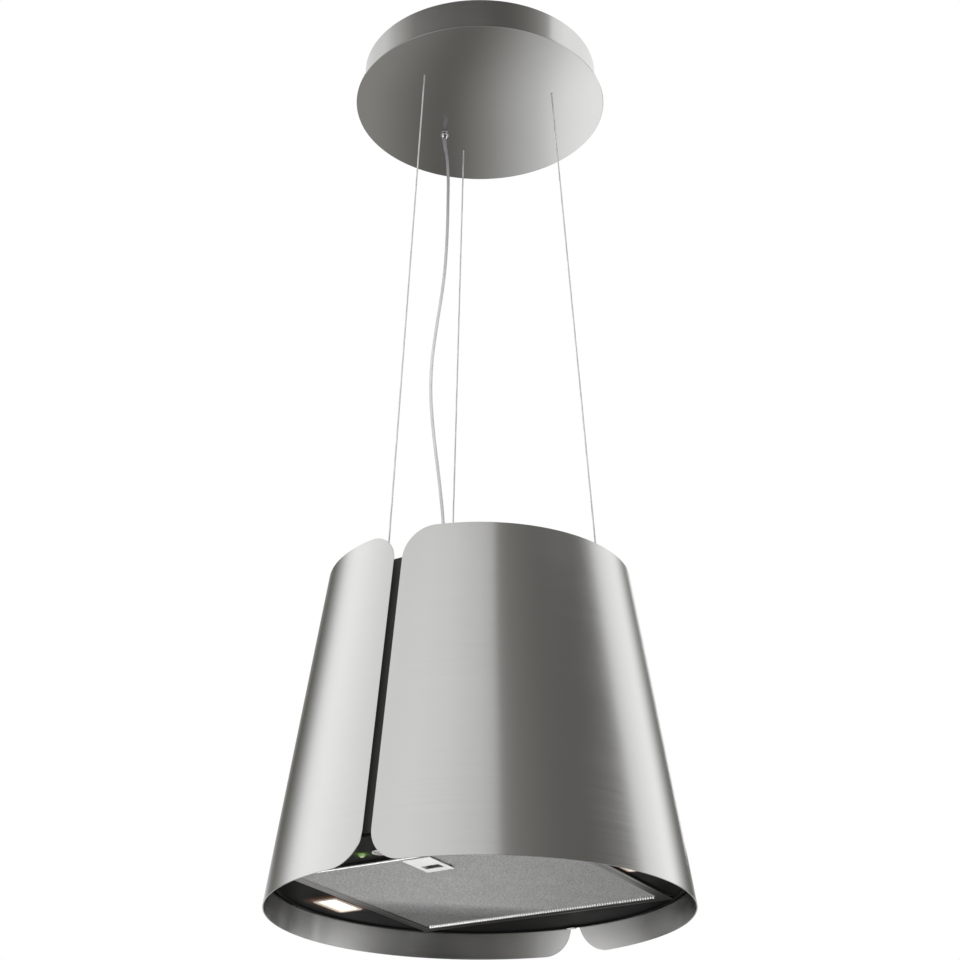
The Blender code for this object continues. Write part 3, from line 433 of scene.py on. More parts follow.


# painted shade over the filter's mesh, foil, flange and beads: (direction, stops of metres along it
# and brightness)
MESH_PAINTED_SHADE = (((-0.661, 0.751, 0), [(-0.20, 1.0), (0.080, 1.0), (0.100, 0.66), (0.135, 0.42)]),
               ((0.87, 0.49, 0), [(-0.20, 1.0), (-0.03, 0.93), (0.063, 0.75), (0.108, 0.66),
                                  (0.150, 0.62), (0.175, 0.55), (0.195, 0.40)]))
FLANGE_PAINTED_SHADE = (((1, -4, 0), [(-0.74, 0.13), (-0.44, 0.15), (-0.368, 0.18), (-0.268, 0.34),
                               (-0.15, 0.60), (-0.03, 0.95), (0.10, 1.0), (0.70, 1.0)]),
                 ((1, 0, 0), [(-0.16, 1.0), (0.135, 1.0), (0.140, 0.90), (0.16, 0.90)]))
BEAD_PAINTED_SHADE = (((1, 0, 0), [(-0.138, 1.0), (-0.05, 0.88), (0.02, 0.70), (0.14, 0.62)]),)

MATERIALS = {
    "petal": brushed_steel("petal_steel", (0.600, 0.598, 0.592), (5, 5, 1700),
                           anisotropy=0.90),
    "wall": brushed_steel("canopy_wall_steel", (0.600, 0.598, 0.592), (5, 5, 1700)),
    "disc": brushed_steel("canopy_disc_steel", (0.600, 0.598, 0.592), (5, 2400, 5),
                          (0, 0, -VIEW_AZIMUTH), (0.11, 0.15), 0.6),
    "key_cap": plain_metal("key_cap_steel", (0.66, 0.65, 0.64), (0.20, 0.32), metallic=0.85),
    "key_ring": plain_metal("key_ring_chrome", (0.90, 0.90, 0.89), (0.08, 0.16), 300.0, 0.000004,
                            0.04, 0.80),
    "zinc_steel": galvanised("zinc_spangle"),
    "wire_steel": plain_metal("wire_rope_steel", (0.60, 0.59, 0.58), (0.30, 0.42), 900.0,
                              metallic=0.45),
    "chrome": plain_metal("polished_chrome", (0.80, 0.80, 0.79), (0.05, 0.12), 300.0, 0.000004, 0.04),
    # lift: a faint painted glow for the stray light in the gaps round the casing and top plate
    "black_paint": moulded("casing_black", (0.016, 0.016, 0.016), (0.50, 0.62), 800.0, lift=0.010),
    "panel": panel_paint(),
    "black_plastic": moulded("plastic_black", (0.014, 0.014, 0.015)),
    "white_plastic": moulded("plastic_white", (0.72, 0.71, 0.68)),
    "filter_aluminium": plain_metal("filter_aluminium", (0.42, 0.42, 0.415), (0.30, 0.45), 260.0),
    "flange": plain_metal("filter_flange_foil", (0.80, 0.80, 0.79), (0.30, 0.45), 260.0,
                          shade_grades=FLANGE_PAINTED_SHADE),
    "mesh_wire": plain_metal("filter_mesh_wire", (0.66, 0.66, 0.655), (0.34, 0.48), 480.0,
                             0.00002, 0.42, 0.65, MESH_PAINTED_SHADE),
    # beads and front lip: near-white, mostly matt colour as a painted highlight
    "bead": plain_metal("filter_bead_bright", (0.95, 0.95, 0.94), (0.38, 0.50), 400.0,
                        0.00001, 0.04, 0.15, BEAD_PAINTED_SHADE),
    "lip": plain_metal("filter_lip_bright", (0.95, 0.95, 0.94), (0.38, 0.50), 400.0,
                       0.00001, 0.04, 0.15),
    # foil underside: dark colour as painted shade behind the mesh, plus the filter's painted shade
    "pack": plain_metal("filter_pack_foil", (0.15, 0.15, 0.148), (0.30, 0.50), 300.0,
                        shade_grades=MESH_PAINTED_SHADE),
    "latch": moulded("latch_satin", (0.54, 0.54, 0.53), (0.30, 0.42), 900.0, 0.00001),
    "bezel": bezel_steel(),
    "clip": plain_metal("panel_clip_steel", (0.52, 0.52, 0.51), (0.38, 0.50), 300.0,
                        metallic=0.15),
    "cord_sheath": cord_sheath(),
    "fan_plastic": moulded("fan_moulding", (0.055, 0.057, 0.060), (0.42, 0.58), 500.0),
    "motor_steel": plain_metal("motor_can", (0.48, 0.48, 0.49), (0.30, 0.48), 180.0),
    "carbon": granular(),
    "lamp_lens": lamp_glass(),
    "green_lens": indicator_glass(),
    "cord_grey": moulded("cord_pvc", (0.200, 0.185, 0.205), (0.36, 0.50), 1500.0, 0.00001),
}


# ---------------------------------------------------------------------- mesh helpers
def around(azimuth_degrees, radius):
    angle = math.radians(azimuth_degrees)
    return radius * math.sin(angle), -radius * math.cos(angle)


def hood(height):
    return height - DROP


def mesh_object(name, bm, *materials):
    """Object of the mesh in bm, in the scene."""
    mesh = bpy.data.meshes.new(name)
    bm.to_mesh(mesh)
    bm.free()
    for material in materials:
        mesh.materials.append(material)
    item = bpy.data.objects.new(name, mesh)
    bpy.context.scene.collection.objects.link(item)
    return item


def subtract(item, cutter_bm):
    """Cut the closed mesh cutter_bm out of item, and keep the result as its mesh."""
    bmesh.ops.recalc_face_normals(cutter_bm, faces=cutter_bm.faces)
    cutter = mesh_object("cutter", cutter_bm)
    tool = item.modifiers.new("cut", "BOOLEAN")
    tool.operation = "DIFFERENCE"
    tool.solver = "EXACT"
    tool.object = cutter
    bpy.context.view_layer.update()
    result = item.evaluated_get(bpy.context.evaluated_depsgraph_get())
    fresh = bpy.data.meshes.new_from_object(result)
    item.modifiers.clear()
    spent = (item.data, cutter.data)
    item.data = fresh
    bpy.data.objects.remove(cutter)
    for mesh in spent:
        bpy.data.meshes.remove(mesh)


def loose_piece(name, bm, look, crease=60.0, cut=()):
    """A smooth piece with no parent yet, with the closed meshes in cut taken out of it."""
    bmesh.ops.recalc_face_normals(bm, faces=bm.faces)
    item = mesh_object(name, bm)
    for cutter in cut:
        subtract(item, cutter)
    item.data.materials.clear()
    item.data.materials.append(MATERIALS[look])
    item.data.shade_smooth()
    item.data.set_sharp_from_angle(angle=math.radians(crease))
    return item


def place_piece(name, bm, look, body, slot, replaces=(), bevel=0.0, crease=35.0, cut=()):
    """A piece with rounded edges on its body, in place of the CAD nodes in replaces."""
    item = loose_piece(name, bm, look, crease, cut)
    if bevel:
        rounding = item.modifiers.new("rounding", "BEVEL")
        rounding.width = bevel
        rounding.segments = 2
        rounding.limit_method = "ANGLE"
        rounding.angle_limit = math.radians(40)
        rounding.harden_normals = True
    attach(item, body)
    if replaces:
        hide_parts(*replaces)
    return item


def grain_uv(item, place):
    """UV map "grain": its u runs across the drawn grain, so gloss spreads that way."""
    layer = item.data.uv_layers.new(name="grain")
    for loop in item.data.loops:
        layer.data[loop.index].uv = place(item.data.vertices[loop.vertex_index].co)


def grain_round(item):
    """Grain drawn round the upright axis."""
    grain_uv(item, lambda co: (co.z * 10, math.atan2(co.x, -co.y)))


def flat_ring(bm, outline, z):
    return [bm.verts.new((x, y, z)) for x, y in outline]


def join_rings(bm, rings, closed_rings=True, closed_run=False, capped=False):
    """Quads between rings of vertices of equal length, with the two end rings filled."""
    pairs = list(zip(rings, rings[1:]))
    if closed_run:
        pairs.append((rings[-1], rings[0]))
    for here, there in pairs:
        count = len(here)
        for step in range(count if closed_rings else count - 1):
            after = (step + 1) % count
            bm.faces.new((here[step], here[after], there[after], there[step]))
    if capped:
        bm.faces.new(rings[0])
        bm.faces.new(rings[-1])


def stacked(sections, bm=None, **joined):
    """Mesh through a run of (outline, z) sections of equal length, or that added to bm."""
    if bm is None:
        bm = bmesh.new()
    join_rings(bm, [flat_ring(bm, outline, z) for outline, z in sections], **joined)
    return bm


def drawn(profile, places):
    """Bar along x with a closed (y, z) profile at each of the places."""
    bm = bmesh.new()
    join_rings(bm, [[bm.verts.new((x, y, z)) for y, z in profile] for x in places], capped=True)
    return bm


def turned(outline, segments, centre=(0.0, 0.0), base=0.0):
    """Solid turned about a vertical axis from a closed (radius, z) outline."""
    bm = bmesh.new()
    turns = [2 * math.pi * step / segments for step in range(segments)]
    rings = []
    for radius, z in outline:
        ring = [bm.verts.new((centre[0] + radius * math.sin(angle),
                              centre[1] - radius * math.cos(angle), base + z))
                for angle in (turns if radius else turns[:1])]
        rings.append(ring if radius else ring * segments)
    for here, there in zip(rings, rings[1:] + rings[:1]):
        for step in range(segments):
            after = (step + 1) % segments
            corners = dict.fromkeys((here[step], here[after], there[after], there[step]))
            if len(corners) > 2:
                bm.faces.new(list(corners))
    return bm


def pin(radius, low, high, segments, centre=(0.0, 0.0), base=0.0):
    """Upright cylinder, to cut a round hole."""
    return turned([(0, low), (radius, low), (radius, high), (0, high)], segments, centre, base)


def corners_of(low, high):
    return (low[0], low[1]), (high[0], low[1]), (high[0], high[1]), (low[0], high[1])


def rounded_rectangle(half_x, half_y, radius, steps=5, centre=(0.0, 0.0)):
    """Points round a rectangle with rounded corners."""
    points = []
    for quarter, (sx, sy) in enumerate(((1, -1), (1, 1), (-1, 1), (-1, -1))):
        cx, cy = sx * (half_x - radius), sy * (half_y - radius)
        start = math.radians(90 * quarter - 90)
        for step in range(steps + 1):
            angle = start + math.radians(90) * step / steps
            points.append((centre[0] + cx + radius * math.cos(angle),
                           centre[1] + cy + radius * math.sin(angle)))
    return points


def slab(outline, low, high, bm=None):
    """Prism over a closed (x, y) outline."""
    return stacked([(outline, low), (outline, high)], bm, capped=True)


def tube_into(bm, points, radius, sides):
    """Round tube along points, with its ends closed; radius may be a list, one per point."""
    rings = []
    side = None
    for index, point in enumerate(points):
        before = points[max(index - 1, 0)]
        after = points[min(index + 1, len(points) - 1)]
        along = (after - before).normalized()
        if side is None:
            side = along.cross(Vector((0.3, 1.0, 0.2))).normalized()
        side = (side - along * side.dot(along)).normalized()
        up = along.cross(side)
        reach = radius[index] if isinstance(radius, list) else radius
        rings.append([bm.verts.new(point + reach * (side * math.cos(2 * math.pi * step / sides)
                                                    + up * math.sin(2 * math.pi * step / sides)))
                      for step in range(sides)])
    join_rings(bm, rings, capped=True)


# -------------------------------------------------------------------- camera and cords
def make_camera():
    data = bpy.data.cameras.new("camera")
    data.lens = FOCAL_LENGTH
    data.sensor_width = 36.0
    camera = bpy.data.objects.new("camera", data)
    camera.location = CAMERA_PLACE
    camera.rotation_euler = Vector(CAMERA_LOOK).to_track_quat("-Z", "Y").to_euler()
    bpy.context.scene.collection.objects.link(camera)
    bpy.context.scene.camera = camera


def route_length(points):
    return sum((q - p).length for p, q in zip(points, points[1:]))


def smooth_route(route, spacing):
    """Even points on a Catmull-Rom curve through the route's own points."""
    knots = [Vector(point) for point in route]
    knots = [2 * knots[0] - knots[1]] + knots + [2 * knots[-1] - knots[-2]]
    fine = []
    for a, b, c, d in zip(knots, knots[1:], knots[2:], knots[3:]):
        for step in range(12):
            t = step / 12
            fine.append(0.5 * (2 * b + (c - a) * t + (2 * a - 5 * b + 4 * c - d) * t ** 2
                               + (3 * b - a - 3 * c + d) * t ** 3))
    fine.append(knots[-2])
    total = route_length(fine)
    count = round(total / spacing)
    even = [fine[0]]
    run = 0.0
    for p, q in zip(fine, fine[1:]):
        length = (q - p).length
        while len(even) < count and run + length >= total * len(even) / count:
            even.append(p.lerp(q, (total * len(even) / count - run) / length))
        run += length
    even.append(fine[-1])
    return even


def make_power_cord():
    points = smooth_route(CORD_ROUTE, CORD_SPACING)
    bm = bmesh.new()
    tube_into(bm, points, CORD_RADIUS, 16)
    cord = loose_piece("supply_cord", bm, "cord_sheath")
    cord.visible_glossy = False
    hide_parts("power_cord")
    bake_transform(cord)


def wire_point(number, z):
    """Point at the height z on a wire, which runs straight from the disc to its anchor."""
    x0, y0 = around(WIRE_CANOPY_AZIMUTHS[number], WIRE_CANOPY_RADIUS)
    x1, y1 = around(WIRE_HOOD_AZIMUTHS[number], WIRE_HOOD_RADIUS)
    share = (CANOPY_LOW - z) / (CANOPY_LOW - WIRE_ANCHOR)
    return Vector((x0 + (x1 - x0) * share, y0 + (y1 - y0) * share, z))


def make_wire_ropes():
    """Three steel ropes, each of six strands laid round a core."""
    strands, strand, lay, steps_per_turn = 6, 0.00027, 0.0110, 8
    core = WIRE_RADIUS - strand
    for number in range(3):
        top, bottom = wire_point(number, WIRE_TOP), wire_point(number, WIRE_BOTTOM)
        length = (bottom - top).length
        along = (bottom - top).normalized()
        side = along.cross(Vector((0, 1, 0))).normalized()
        up = along.cross(side)
        bm = bmesh.new()
        tube_into(bm, [top, bottom], core, 6)
        count = int(length / lay * steps_per_turn)
        for turn in range(strands):
            line = []
            for step in range(count + 1):
                angle = 2 * math.pi * turn / strands + 2 * math.pi * step / steps_per_turn
                line.append(top.lerp(bottom, step / count)
                            + core * (side * math.cos(angle) + up * math.sin(angle)))
            tube_into(bm, line, strand, 5)
        rope = loose_piece(f"wire_rope_{number + 1}", bm, "wire_steel")
        rope.visible_glossy = False
        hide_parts(f"suspension_wire_{number + 1}")
        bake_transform(rope)


# ------------------------------------------------------------------------------ canopy
def screw_hole(azimuth):
    """Cutter for a screw hole through the canopy's wall: a pin laid on its side."""
    bm = pin(SCREW_HOLE, 0.1, 0.2, 16)
    angle = math.radians(azimuth)
    for vert in bm.verts:
        reach, across, tall = vert.co.z, vert.co.x, vert.co.y
        vert.co = (reach * math.sin(angle) + across * math.cos(angle),
                   -reach * math.cos(angle) + across * math.sin(angle),
                   tall + CANOPY_SCREW_HEIGHT)
    return bm


def make_canopy():
    wall, inner = CANOPY_WALL_RADIUS, CANOPY_WALL_RADIUS - CANOPY_SHEET
    foot = inner - 0.0100
    low = CANOPY_LOW + 0.0023
    outline = [(wall - 0.0004, low), (wall, low + 0.0004), (wall, -0.0011), (wall - 0.0006, -0.0005),
               (inner, -0.0005), (inner, low + CANOPY_SHEET), (foot, low + CANOPY_SHEET), (foot, low)]
    holes = [screw_hole(azimuth) for azimuth in CANOPY_SCREW_AZIMUTHS]
    grain_round(place_piece("canopy_wall", turned(outline, 240), "wall", "ceiling_canopy",
                            "brushed_steel", ["canopy_ring"], cut=holes))

    rim, low = CANOPY_DISC_RADIUS, CANOPY_LOW
    outline = [(0, low), (rim - 0.0009, low), (rim - 0.0004, low), (rim, low + 0.0004),
               (rim, low + 0.0016), (rim - 0.0004, low + 0.0020), (0, low + 0.0020)]
    past = 0.01
    holes = [pin(WIRE_HOLE, -past, past, 20, around(azimuth, WIRE_CANOPY_RADIUS), low)
             for azimuth in WIRE_CANOPY_AZIMUTHS]
    holes.append(pin(CORD_HOLE, -past, past, 24, CORD_ROUTE[0][:2], low))
    disc = place_piece("canopy_plate", turned(outline, 240), "disc", "ceiling_canopy",
                       "brushed_steel", ["canopy_disc"], cut=holes, crease=12)
    turn = math.radians(VIEW_AZIMUTH)
    grain_uv(disc, lambda co: (-co.x * math.sin(turn) + co.y * math.cos(turn),
                               co.x * math.cos(turn) + co.y * math.sin(turn)))


def make_cord_ends():
    """Chrome gland and tapered sleeve at the canopy, black gland and sleeve at the hood."""
    outline = [(0.0020, 0.0100), (0.0034, 0.0100), (0.0034, 0.0), (0.0046, 0.0), (0.0050, -0.0004),
               (0.0050, -0.0010), (0.0046, -0.0015), (0.0040, -0.0018), (0.0038, -0.0026),
               (0.0036, -0.0040), (0.0030, -0.0052), (0.0022, -0.0055), (0.0020, -0.0054)]
    upper = turned(outline, 36, CORD_ROUTE[0][:2], CANOPY_LOW - 0.0003)
    place_piece("gland_upper", upper, "chrome", "ceiling_canopy", "chrome", ["cord_gland_upper"],
                crease=25)
    outline = [(0.0020, -0.0065), (0.0044, -0.0065), (0.0044, 0.0), (0.0076, 0.0), (0.0080, 0.0004),
               (0.0080, 0.0018), (0.0076, 0.0024), (0.0058, 0.0028), (0.0054, 0.0070),
               (0.0044, 0.0120), (0.0036, 0.0200), (0.0020, 0.0215)]
    lower = turned(outline, 36, CORD_ROUTE[-1][:2], hood(TOP_PLATE_HEIGHT))
    place_piece("gland_lower", lower, "black_plastic", "hood", "black_plastic",
                ["cord_gland_lower"], crease=25)
    wide, taper, rib, spacing = 0.0027, 0.0006, 0.0001, 0.0012
    fine = smooth_route(CORD_ROUTE, spacing)
    for name, line, body in (("sleeve_upper", fine[1:19], "ceiling_canopy"),
                             ("sleeve_lower", fine[:-18:-1], "hood")):
        count = len(line) - 1
        radii = [wide - taper * step / count + (rib if step % 3 == 1 else 0)
                 for step in range(count + 1)]
        bm = bmesh.new()
        tube_into(bm, line, radii, 20)
        place_piece(name, bm, "cord_grey", body, "cord_grey", crease=70)


# ------------------------------------------------------------------------------ petals
def petal_radius(height):
    return HOOD_BOTTOM_RADIUS - (HOOD_BOTTOM_RADIUS - HOOD_TOP_RADIUS) * height / HOOD_HEIGHT


def petal_columns(corner_steps=16, plain_steps=150):
    """(run, share) of each column: run in metres from its edge, share of the way round."""
    runs = [PETAL_CORNER * (1 - math.cos(math.pi / 2 * step / corner_steps))
            for step in range(corner_steps)]
    columns = [(run, 0.0) for run in runs]
    columns += [(PETAL_CORNER, step / plain_steps) for step in range(plain_steps + 1)]
    columns += [(run, 1.0) for run in reversed(runs)]
    return columns


def petal_azimuth(run, share, radius):
    edge = math.asin(PETAL_SLOT / 2 / radius)
    first = edge + PETAL_CORNER / radius
    if run < PETAL_CORNER:
        angle = edge + run / radius
        return math.pi - angle if share else angle
    return first + (math.pi - 2 * first) * share


def make_petal(name, side, node):
    """A half shell of rolled sheet with rounded corners and broken edges."""
    bm = bmesh.new()
    wall = PETAL_SHEET / math.cos(math.atan((HOOD_BOTTOM_RADIUS - HOOD_TOP_RADIUS) / HOOD_HEIGHT))
    rings = []
    for run, share in petal_columns():
        low = PETAL_CORNER - math.sqrt(max(0.0, PETAL_CORNER ** 2 - (PETAL_CORNER - run) ** 2))
        high = HOOD_HEIGHT - low
        third = (high - low) / 3
        corners = []
        for height, depth in ((low, 0), (low + third, 0), (high - third, 0), (high, 0),
                              (high, wall), (low, wall)):
            radius = petal_radius(height)
            angle = petal_azimuth(run, share, radius)
            reach = radius - depth
            corners.append(bm.verts.new((side * reach * math.sin(angle), -reach * math.cos(angle),
                                         hood(height))))
        rings.append(corners)
    join_rings(bm, rings, capped=True)
    grain_round(place_piece(name, bm, "petal", "hood", "brushed_steel", [node], bevel=0.00028))


# ---------------------------------------------------------------------- bottom of hood
def make_bottom_panel():
    top = PANEL_LOW + PANEL_SHEET
    drop = PANEL_LOW - PANEL_LIP_DROP
    inner, rim = PANEL_RADIUS - PANEL_LIP, PANEL_RADIUS
    outline = [(0, PANEL_LOW), (inner - 0.0018, PANEL_LOW), (inner - 0.0010, PANEL_LOW),
               (inner - 0.0003, PANEL_LOW - 0.0003), (inner, drop + 0.0005), (inner + 0.0006, drop),
               (rim - 0.0008, drop), (rim, drop + 0.0008), (rim, top), (0, top)]
    play, past, lamp_inset, lamp_corner = 0.001, 0.01, 0.0032, 0.003
    low, high = hood(PANEL_LOW - past), hood(top + past)
    cuts = [slab(corners_of((-FILTER_HALF_WIDTH - play, FILTER_FRONT - play),
                            (FILTER_HALF_WIDTH + play, FILTER_BACK + play)), low, high)]
    for side in (-1, 1):
        window = rounded_rectangle(LAMP_HALF_WIDTH - lamp_inset, LAMP_HALF_LENGTH - lamp_inset,
                                   lamp_corner, 4, (side * LAMP_X, LAMP_Y))
        cuts.append(slab(window, low, high))
    for step in CONTROL_STEPS:
        radius = INDICATOR_HOLE if step == INDICATOR_STEP else KEY_HOLE
        cuts.append(pin(radius, low, high, 28, (CONTROL_PITCH * step, CONTROL_Y)))
    place_piece("bottom_plate", turned(outline, 200, base=-DROP), "panel", "hood", "black_paint",
                ["bottom_panel"], cut=cuts)


def filter_piece(name, bm, look, replaces=(), **finish):
    return place_piece(name, bm, look, "grease_filter", "filter_aluminium", replaces, **finish)


def frame_outline(share, extra):
    """Corners round the filter, inset by a share of each flange and extra metres."""
    right = FILTER_HALF_WIDTH - share * SIDE_FLANGE - extra
    return corners_of((-right, FILTER_FRONT + share * FRONT_FLANGE + extra),
                      (right, FILTER_BACK - share * BACK_FLANGE - extra))


def make_filter_frame():
    """Folded aluminium frame: flat flange, hemmed outer edge and rolled inner lip."""
    low, sheet = FILTER_LOW, 0.0010
    profile = ((0, 0.0010, 0), (0, 0.0003, 0.0002), (0, 0, 0.0006), (0, 0.0003, sheet),
               (0.80, 0, sheet), (1, 0, sheet), (1, -0.0002, 0.0006), (1, -0.0007, 0.0002),
               (1, -0.0012, 0), (0.78, 0, 0), (0.74, 0, 0.00025), (0.30, 0, 0.00025), (0.26, 0, 0))
    bm = stacked([(frame_outline(share, extra), hood(low + rise)) for share, extra, rise in profile],
                 closed_run=True)
    filter_piece("filter_flange", bm, "flange", ["filter_frame"], crease=25)

    pan_x = FILTER_HALF_WIDTH - PAN_INSET
    front, back = FILTER_FRONT + PAN_FRONT_INSET, FILTER_BACK - PAN_INSET
    profile = ((0.0002, low + sheet), (0, FILTER_TOP), (sheet, FILTER_TOP), (sheet, low + sheet))
    bm = stacked([(corners_of((-pan_x + inset, front + inset), (pan_x - inset, back - inset)),
                   hood(height)) for inset, height in profile], closed_run=True)
    tongue_x, tongue_half, tongue_end = 0.1, 0.012, FILTER_BACK + 0.0040
    for middle in (-tongue_x, tongue_x):
        slab(corners_of((middle - tongue_half, back - 0.0005), (middle + tongue_half, tongue_end)),
             hood(0.0320), hood(0.0335), bm)
    filter_piece("filter_pan", bm, "filter_aluminium", bevel=0.0002)


def make_filter_mesh():
    """Expanded aluminium mesh with small diamonds, left open round the latch well."""
    step, pitch, half_strand, wave = 0.0030, 0.0024, 0.00042, 0.00030
    uneven_x, uneven_y, play_x, play_y = 0.0003, 0.0001, 0.0009, 0.0017
    left = -FILTER_HALF_WIDTH + SIDE_FLANGE - 0.004
    front, back = FILTER_FRONT + 0.0035, FILTER_BACK - BACK_FLANGE + 0.004
    rng = random.Random(11)
    bm = bmesh.new()
    for row in range(int((back - front) / pitch) + 1):
        meets_well = abs(front + pitch * row - LATCH_WELL_Y) < LATCH_WELL_HALF_Y + play_y
        runs = [[]]
        for column in range(int(-2 * left / step) + 1):
            swing = 1 if (column + row) % 2 else -1
            x = left + step * column + rng.uniform(-uneven_x, uneven_x)
            y = front + pitch * (row + 0.5 * swing) + rng.uniform(-uneven_y, uneven_y)
            z = hood(MESH_LOW) + wave * swing
            if meets_well and abs(left + step * column) < LATCH_WELL_HALF_X + play_x:
                if runs[-1]:
                    runs.append([])
                continue
            runs[-1].append([bm.verts.new((x, y + half_strand * a, z + half_strand * b))
                             for a, b in ((-1, -0.3), (0.4, -1), (1, 0.3), (-0.4, 1))])
        for rings in runs:
            join_rings(bm, rings, capped=True)
    filter_piece("filter_cloth", bm, "mesh_wire", ["filter_mesh"], crease=80)


def make_filter_pack():
    """Crimped foil pack above the mesh, left open round the latch well: plain aluminium on its upper
    faces, darkened with painted shade on the lower faces seen through the mesh.
    """
    rng = random.Random(7)
    bm = bmesh.new()
    low, crimp, foil = hood(MESH_LOW + 0.0016), 0.0012, 0.0008
    cells = 110
    half = FILTER_HALF_WIDTH - PAN_INSET - 0.0015
    near, far = FILTER_FRONT + 0.0040, FILTER_BACK - PAN_INSET - 0.0015
    grid = [[bm.verts.new((-half + 2 * half * i / cells, near + (far - near) * j / cells,
                           low + crimp * ((i + j) % 2) + crimp * rng.random()))
             for i in range(cells + 1)] for j in range(cells + 1)]
    upper = [[bm.verts.new(vert.co + Vector((0, 0, foil))) for vert in row] for row in grid]
    for shell in (grid, upper):
        join_rings(bm, shell, closed_rings=False)
    for end in (0, -1):
        join_rings(bm, [grid[end], upper[end]], closed_rings=False)
    for end in (0, -1):
        join_rings(bm, [[row[end] for row in shell] for shell in (grid, upper)],
                   closed_rings=False)
    play, past = 0.001, 0.01
    reach_x, reach_y = LATCH_WELL_HALF_X + play, LATCH_WELL_HALF_Y + play
    opening = slab(corners_of((-reach_x, LATCH_WELL_Y - reach_y), (reach_x, LATCH_WELL_Y + reach_y)),
                   low - past, low + past)
    pack = filter_piece("filter_pack", bm, "pack", crease=20, cut=[opening])
    # faces turned up take plain aluminium; the rest keep the dark foil colour, painted shade behind
    # the mesh
    pack.data.materials.append(MATERIALS["filter_aluminium"])
    for polygon in pack.data.polygons:
        polygon.material_index = 1 if polygon.normal.z > 0 else 0


def make_bead_row():
    """Row of pressed beads along the back lip, and the front lip, both coloured near white as a
    painted highlight.
    """
    bm = bmesh.new()
    start, pitch, count = -0.1365, 0.0030, 93
    size = Vector((0.0011, 0.0019, 0.0019))
    for number in range(count):
        place = Vector((start + pitch * number, FILTER_BACK - BACK_FLANGE - 0.0010,
                        hood(FILTER_LOW + 0.0002)))
        bead = bmesh.ops.create_uvsphere(bm, u_segments=12, v_segments=8, radius=1.0)
        for vert in bead["verts"]:
            vert.co = place + vert.co * size
    filter_piece("filter_beads", bm, "bead", crease=70)

    half = FILTER_HALF_WIDTH - 0.0006
    profile = ((0.0000, 0.0002), (-0.0001, -0.0003), (0.0001, -0.0007), (0.0005, -0.0009),
               (0.0012, -0.0009), (0.0016, -0.0006), (0.0018, 0.0), (0.0016, 0.0002))
    lip = drawn([(FILTER_FRONT + a, hood(FILTER_LOW + b)) for a, b in profile],
                (-half, -half + 0.0004, half - 0.0004, half))
    filter_piece("filter_front_lip", lip, "lip", crease=50)


def make_latch():
    """Pressed plate with a finger slot, and the well behind the slot."""
    corner, low, high = 0.0012, hood(0.0257), hood(0.0265)
    outline = rounded_rectangle(0.016, 0.025, corner, 4, (0.0, -0.105))
    slot = rounded_rectangle(0.0105, 0.0060, corner, 4, (0.0, -0.0970))
    place_piece("latch_face", slab(outline, low, high), "latch", "grease_filter", "brushed_steel",
                ["latch_plate"], bevel=0.0002, cut=[slab(slot, low - 0.01, high + 0.01)])
    wall, top = 0.0012, hood(0.0325)
    well = stacked([(rounded_rectangle(LATCH_WELL_HALF_X - inset, LATCH_WELL_HALF_Y - inset,
                                       0.0015 - inset * 0.8, 3, (0.0, LATCH_WELL_Y)), z)
                    for inset, z in ((0, high), (0, top), (wall, top), (wall, high))],
                   closed_run=True)
    place_piece("latch_well", well, "latch", "grease_filter", "brushed_steel", bevel=0.0002)


# ----------------------------------------------------------------------- lamps, keys
def make_lamp(side_name, side):
    centre = (side * LAMP_X, LAMP_Y)
    under = hood(PANEL_LOW - 0.0003)
    profile = ((0.0006, -0.0014), (0.0001, -0.0010), (0, -0.0004), (0, 0), (0.0036, 0),
               (0.0036, 0.0050), (LAMP_FRAME, 0.0050), (LAMP_FRAME, -0.0008), (0.0043, -0.0014))
    bezel = stacked([(rounded_rectangle(LAMP_HALF_WIDTH - inset, LAMP_HALF_LENGTH - inset,
                                        0.0060 - inset * 0.9, 6, centre), under + z)
                     for inset, z in profile], closed_run=True)
    place_piece(f"bezel_{side_name}", bezel, "bezel", "hood", "chrome",
                [f"lamp_bezel_{side_name}"], crease=30)
    half_x = LAMP_HALF_WIDTH - LAMP_FRAME + 0.0001
    half_y = LAMP_HALF_LENGTH - LAMP_FRAME + 0.0001
    profile = ((0, 0.0012), (0, -0.0002), (0.0008, -0.0007), (0.0030, -0.0010))
    glass = stacked([(rounded_rectangle(half_x - inset, half_y - inset, 0.0030, 6, centre),
                      under + z) for inset, z in profile], capped=True)
    lens = place_piece(f"lens_{side_name}", glass, "lamp_lens", "hood", "lamp_lens",
                       [f"lamp_lens_{side_name}"], crease=40)
    lens.visible_glossy = False


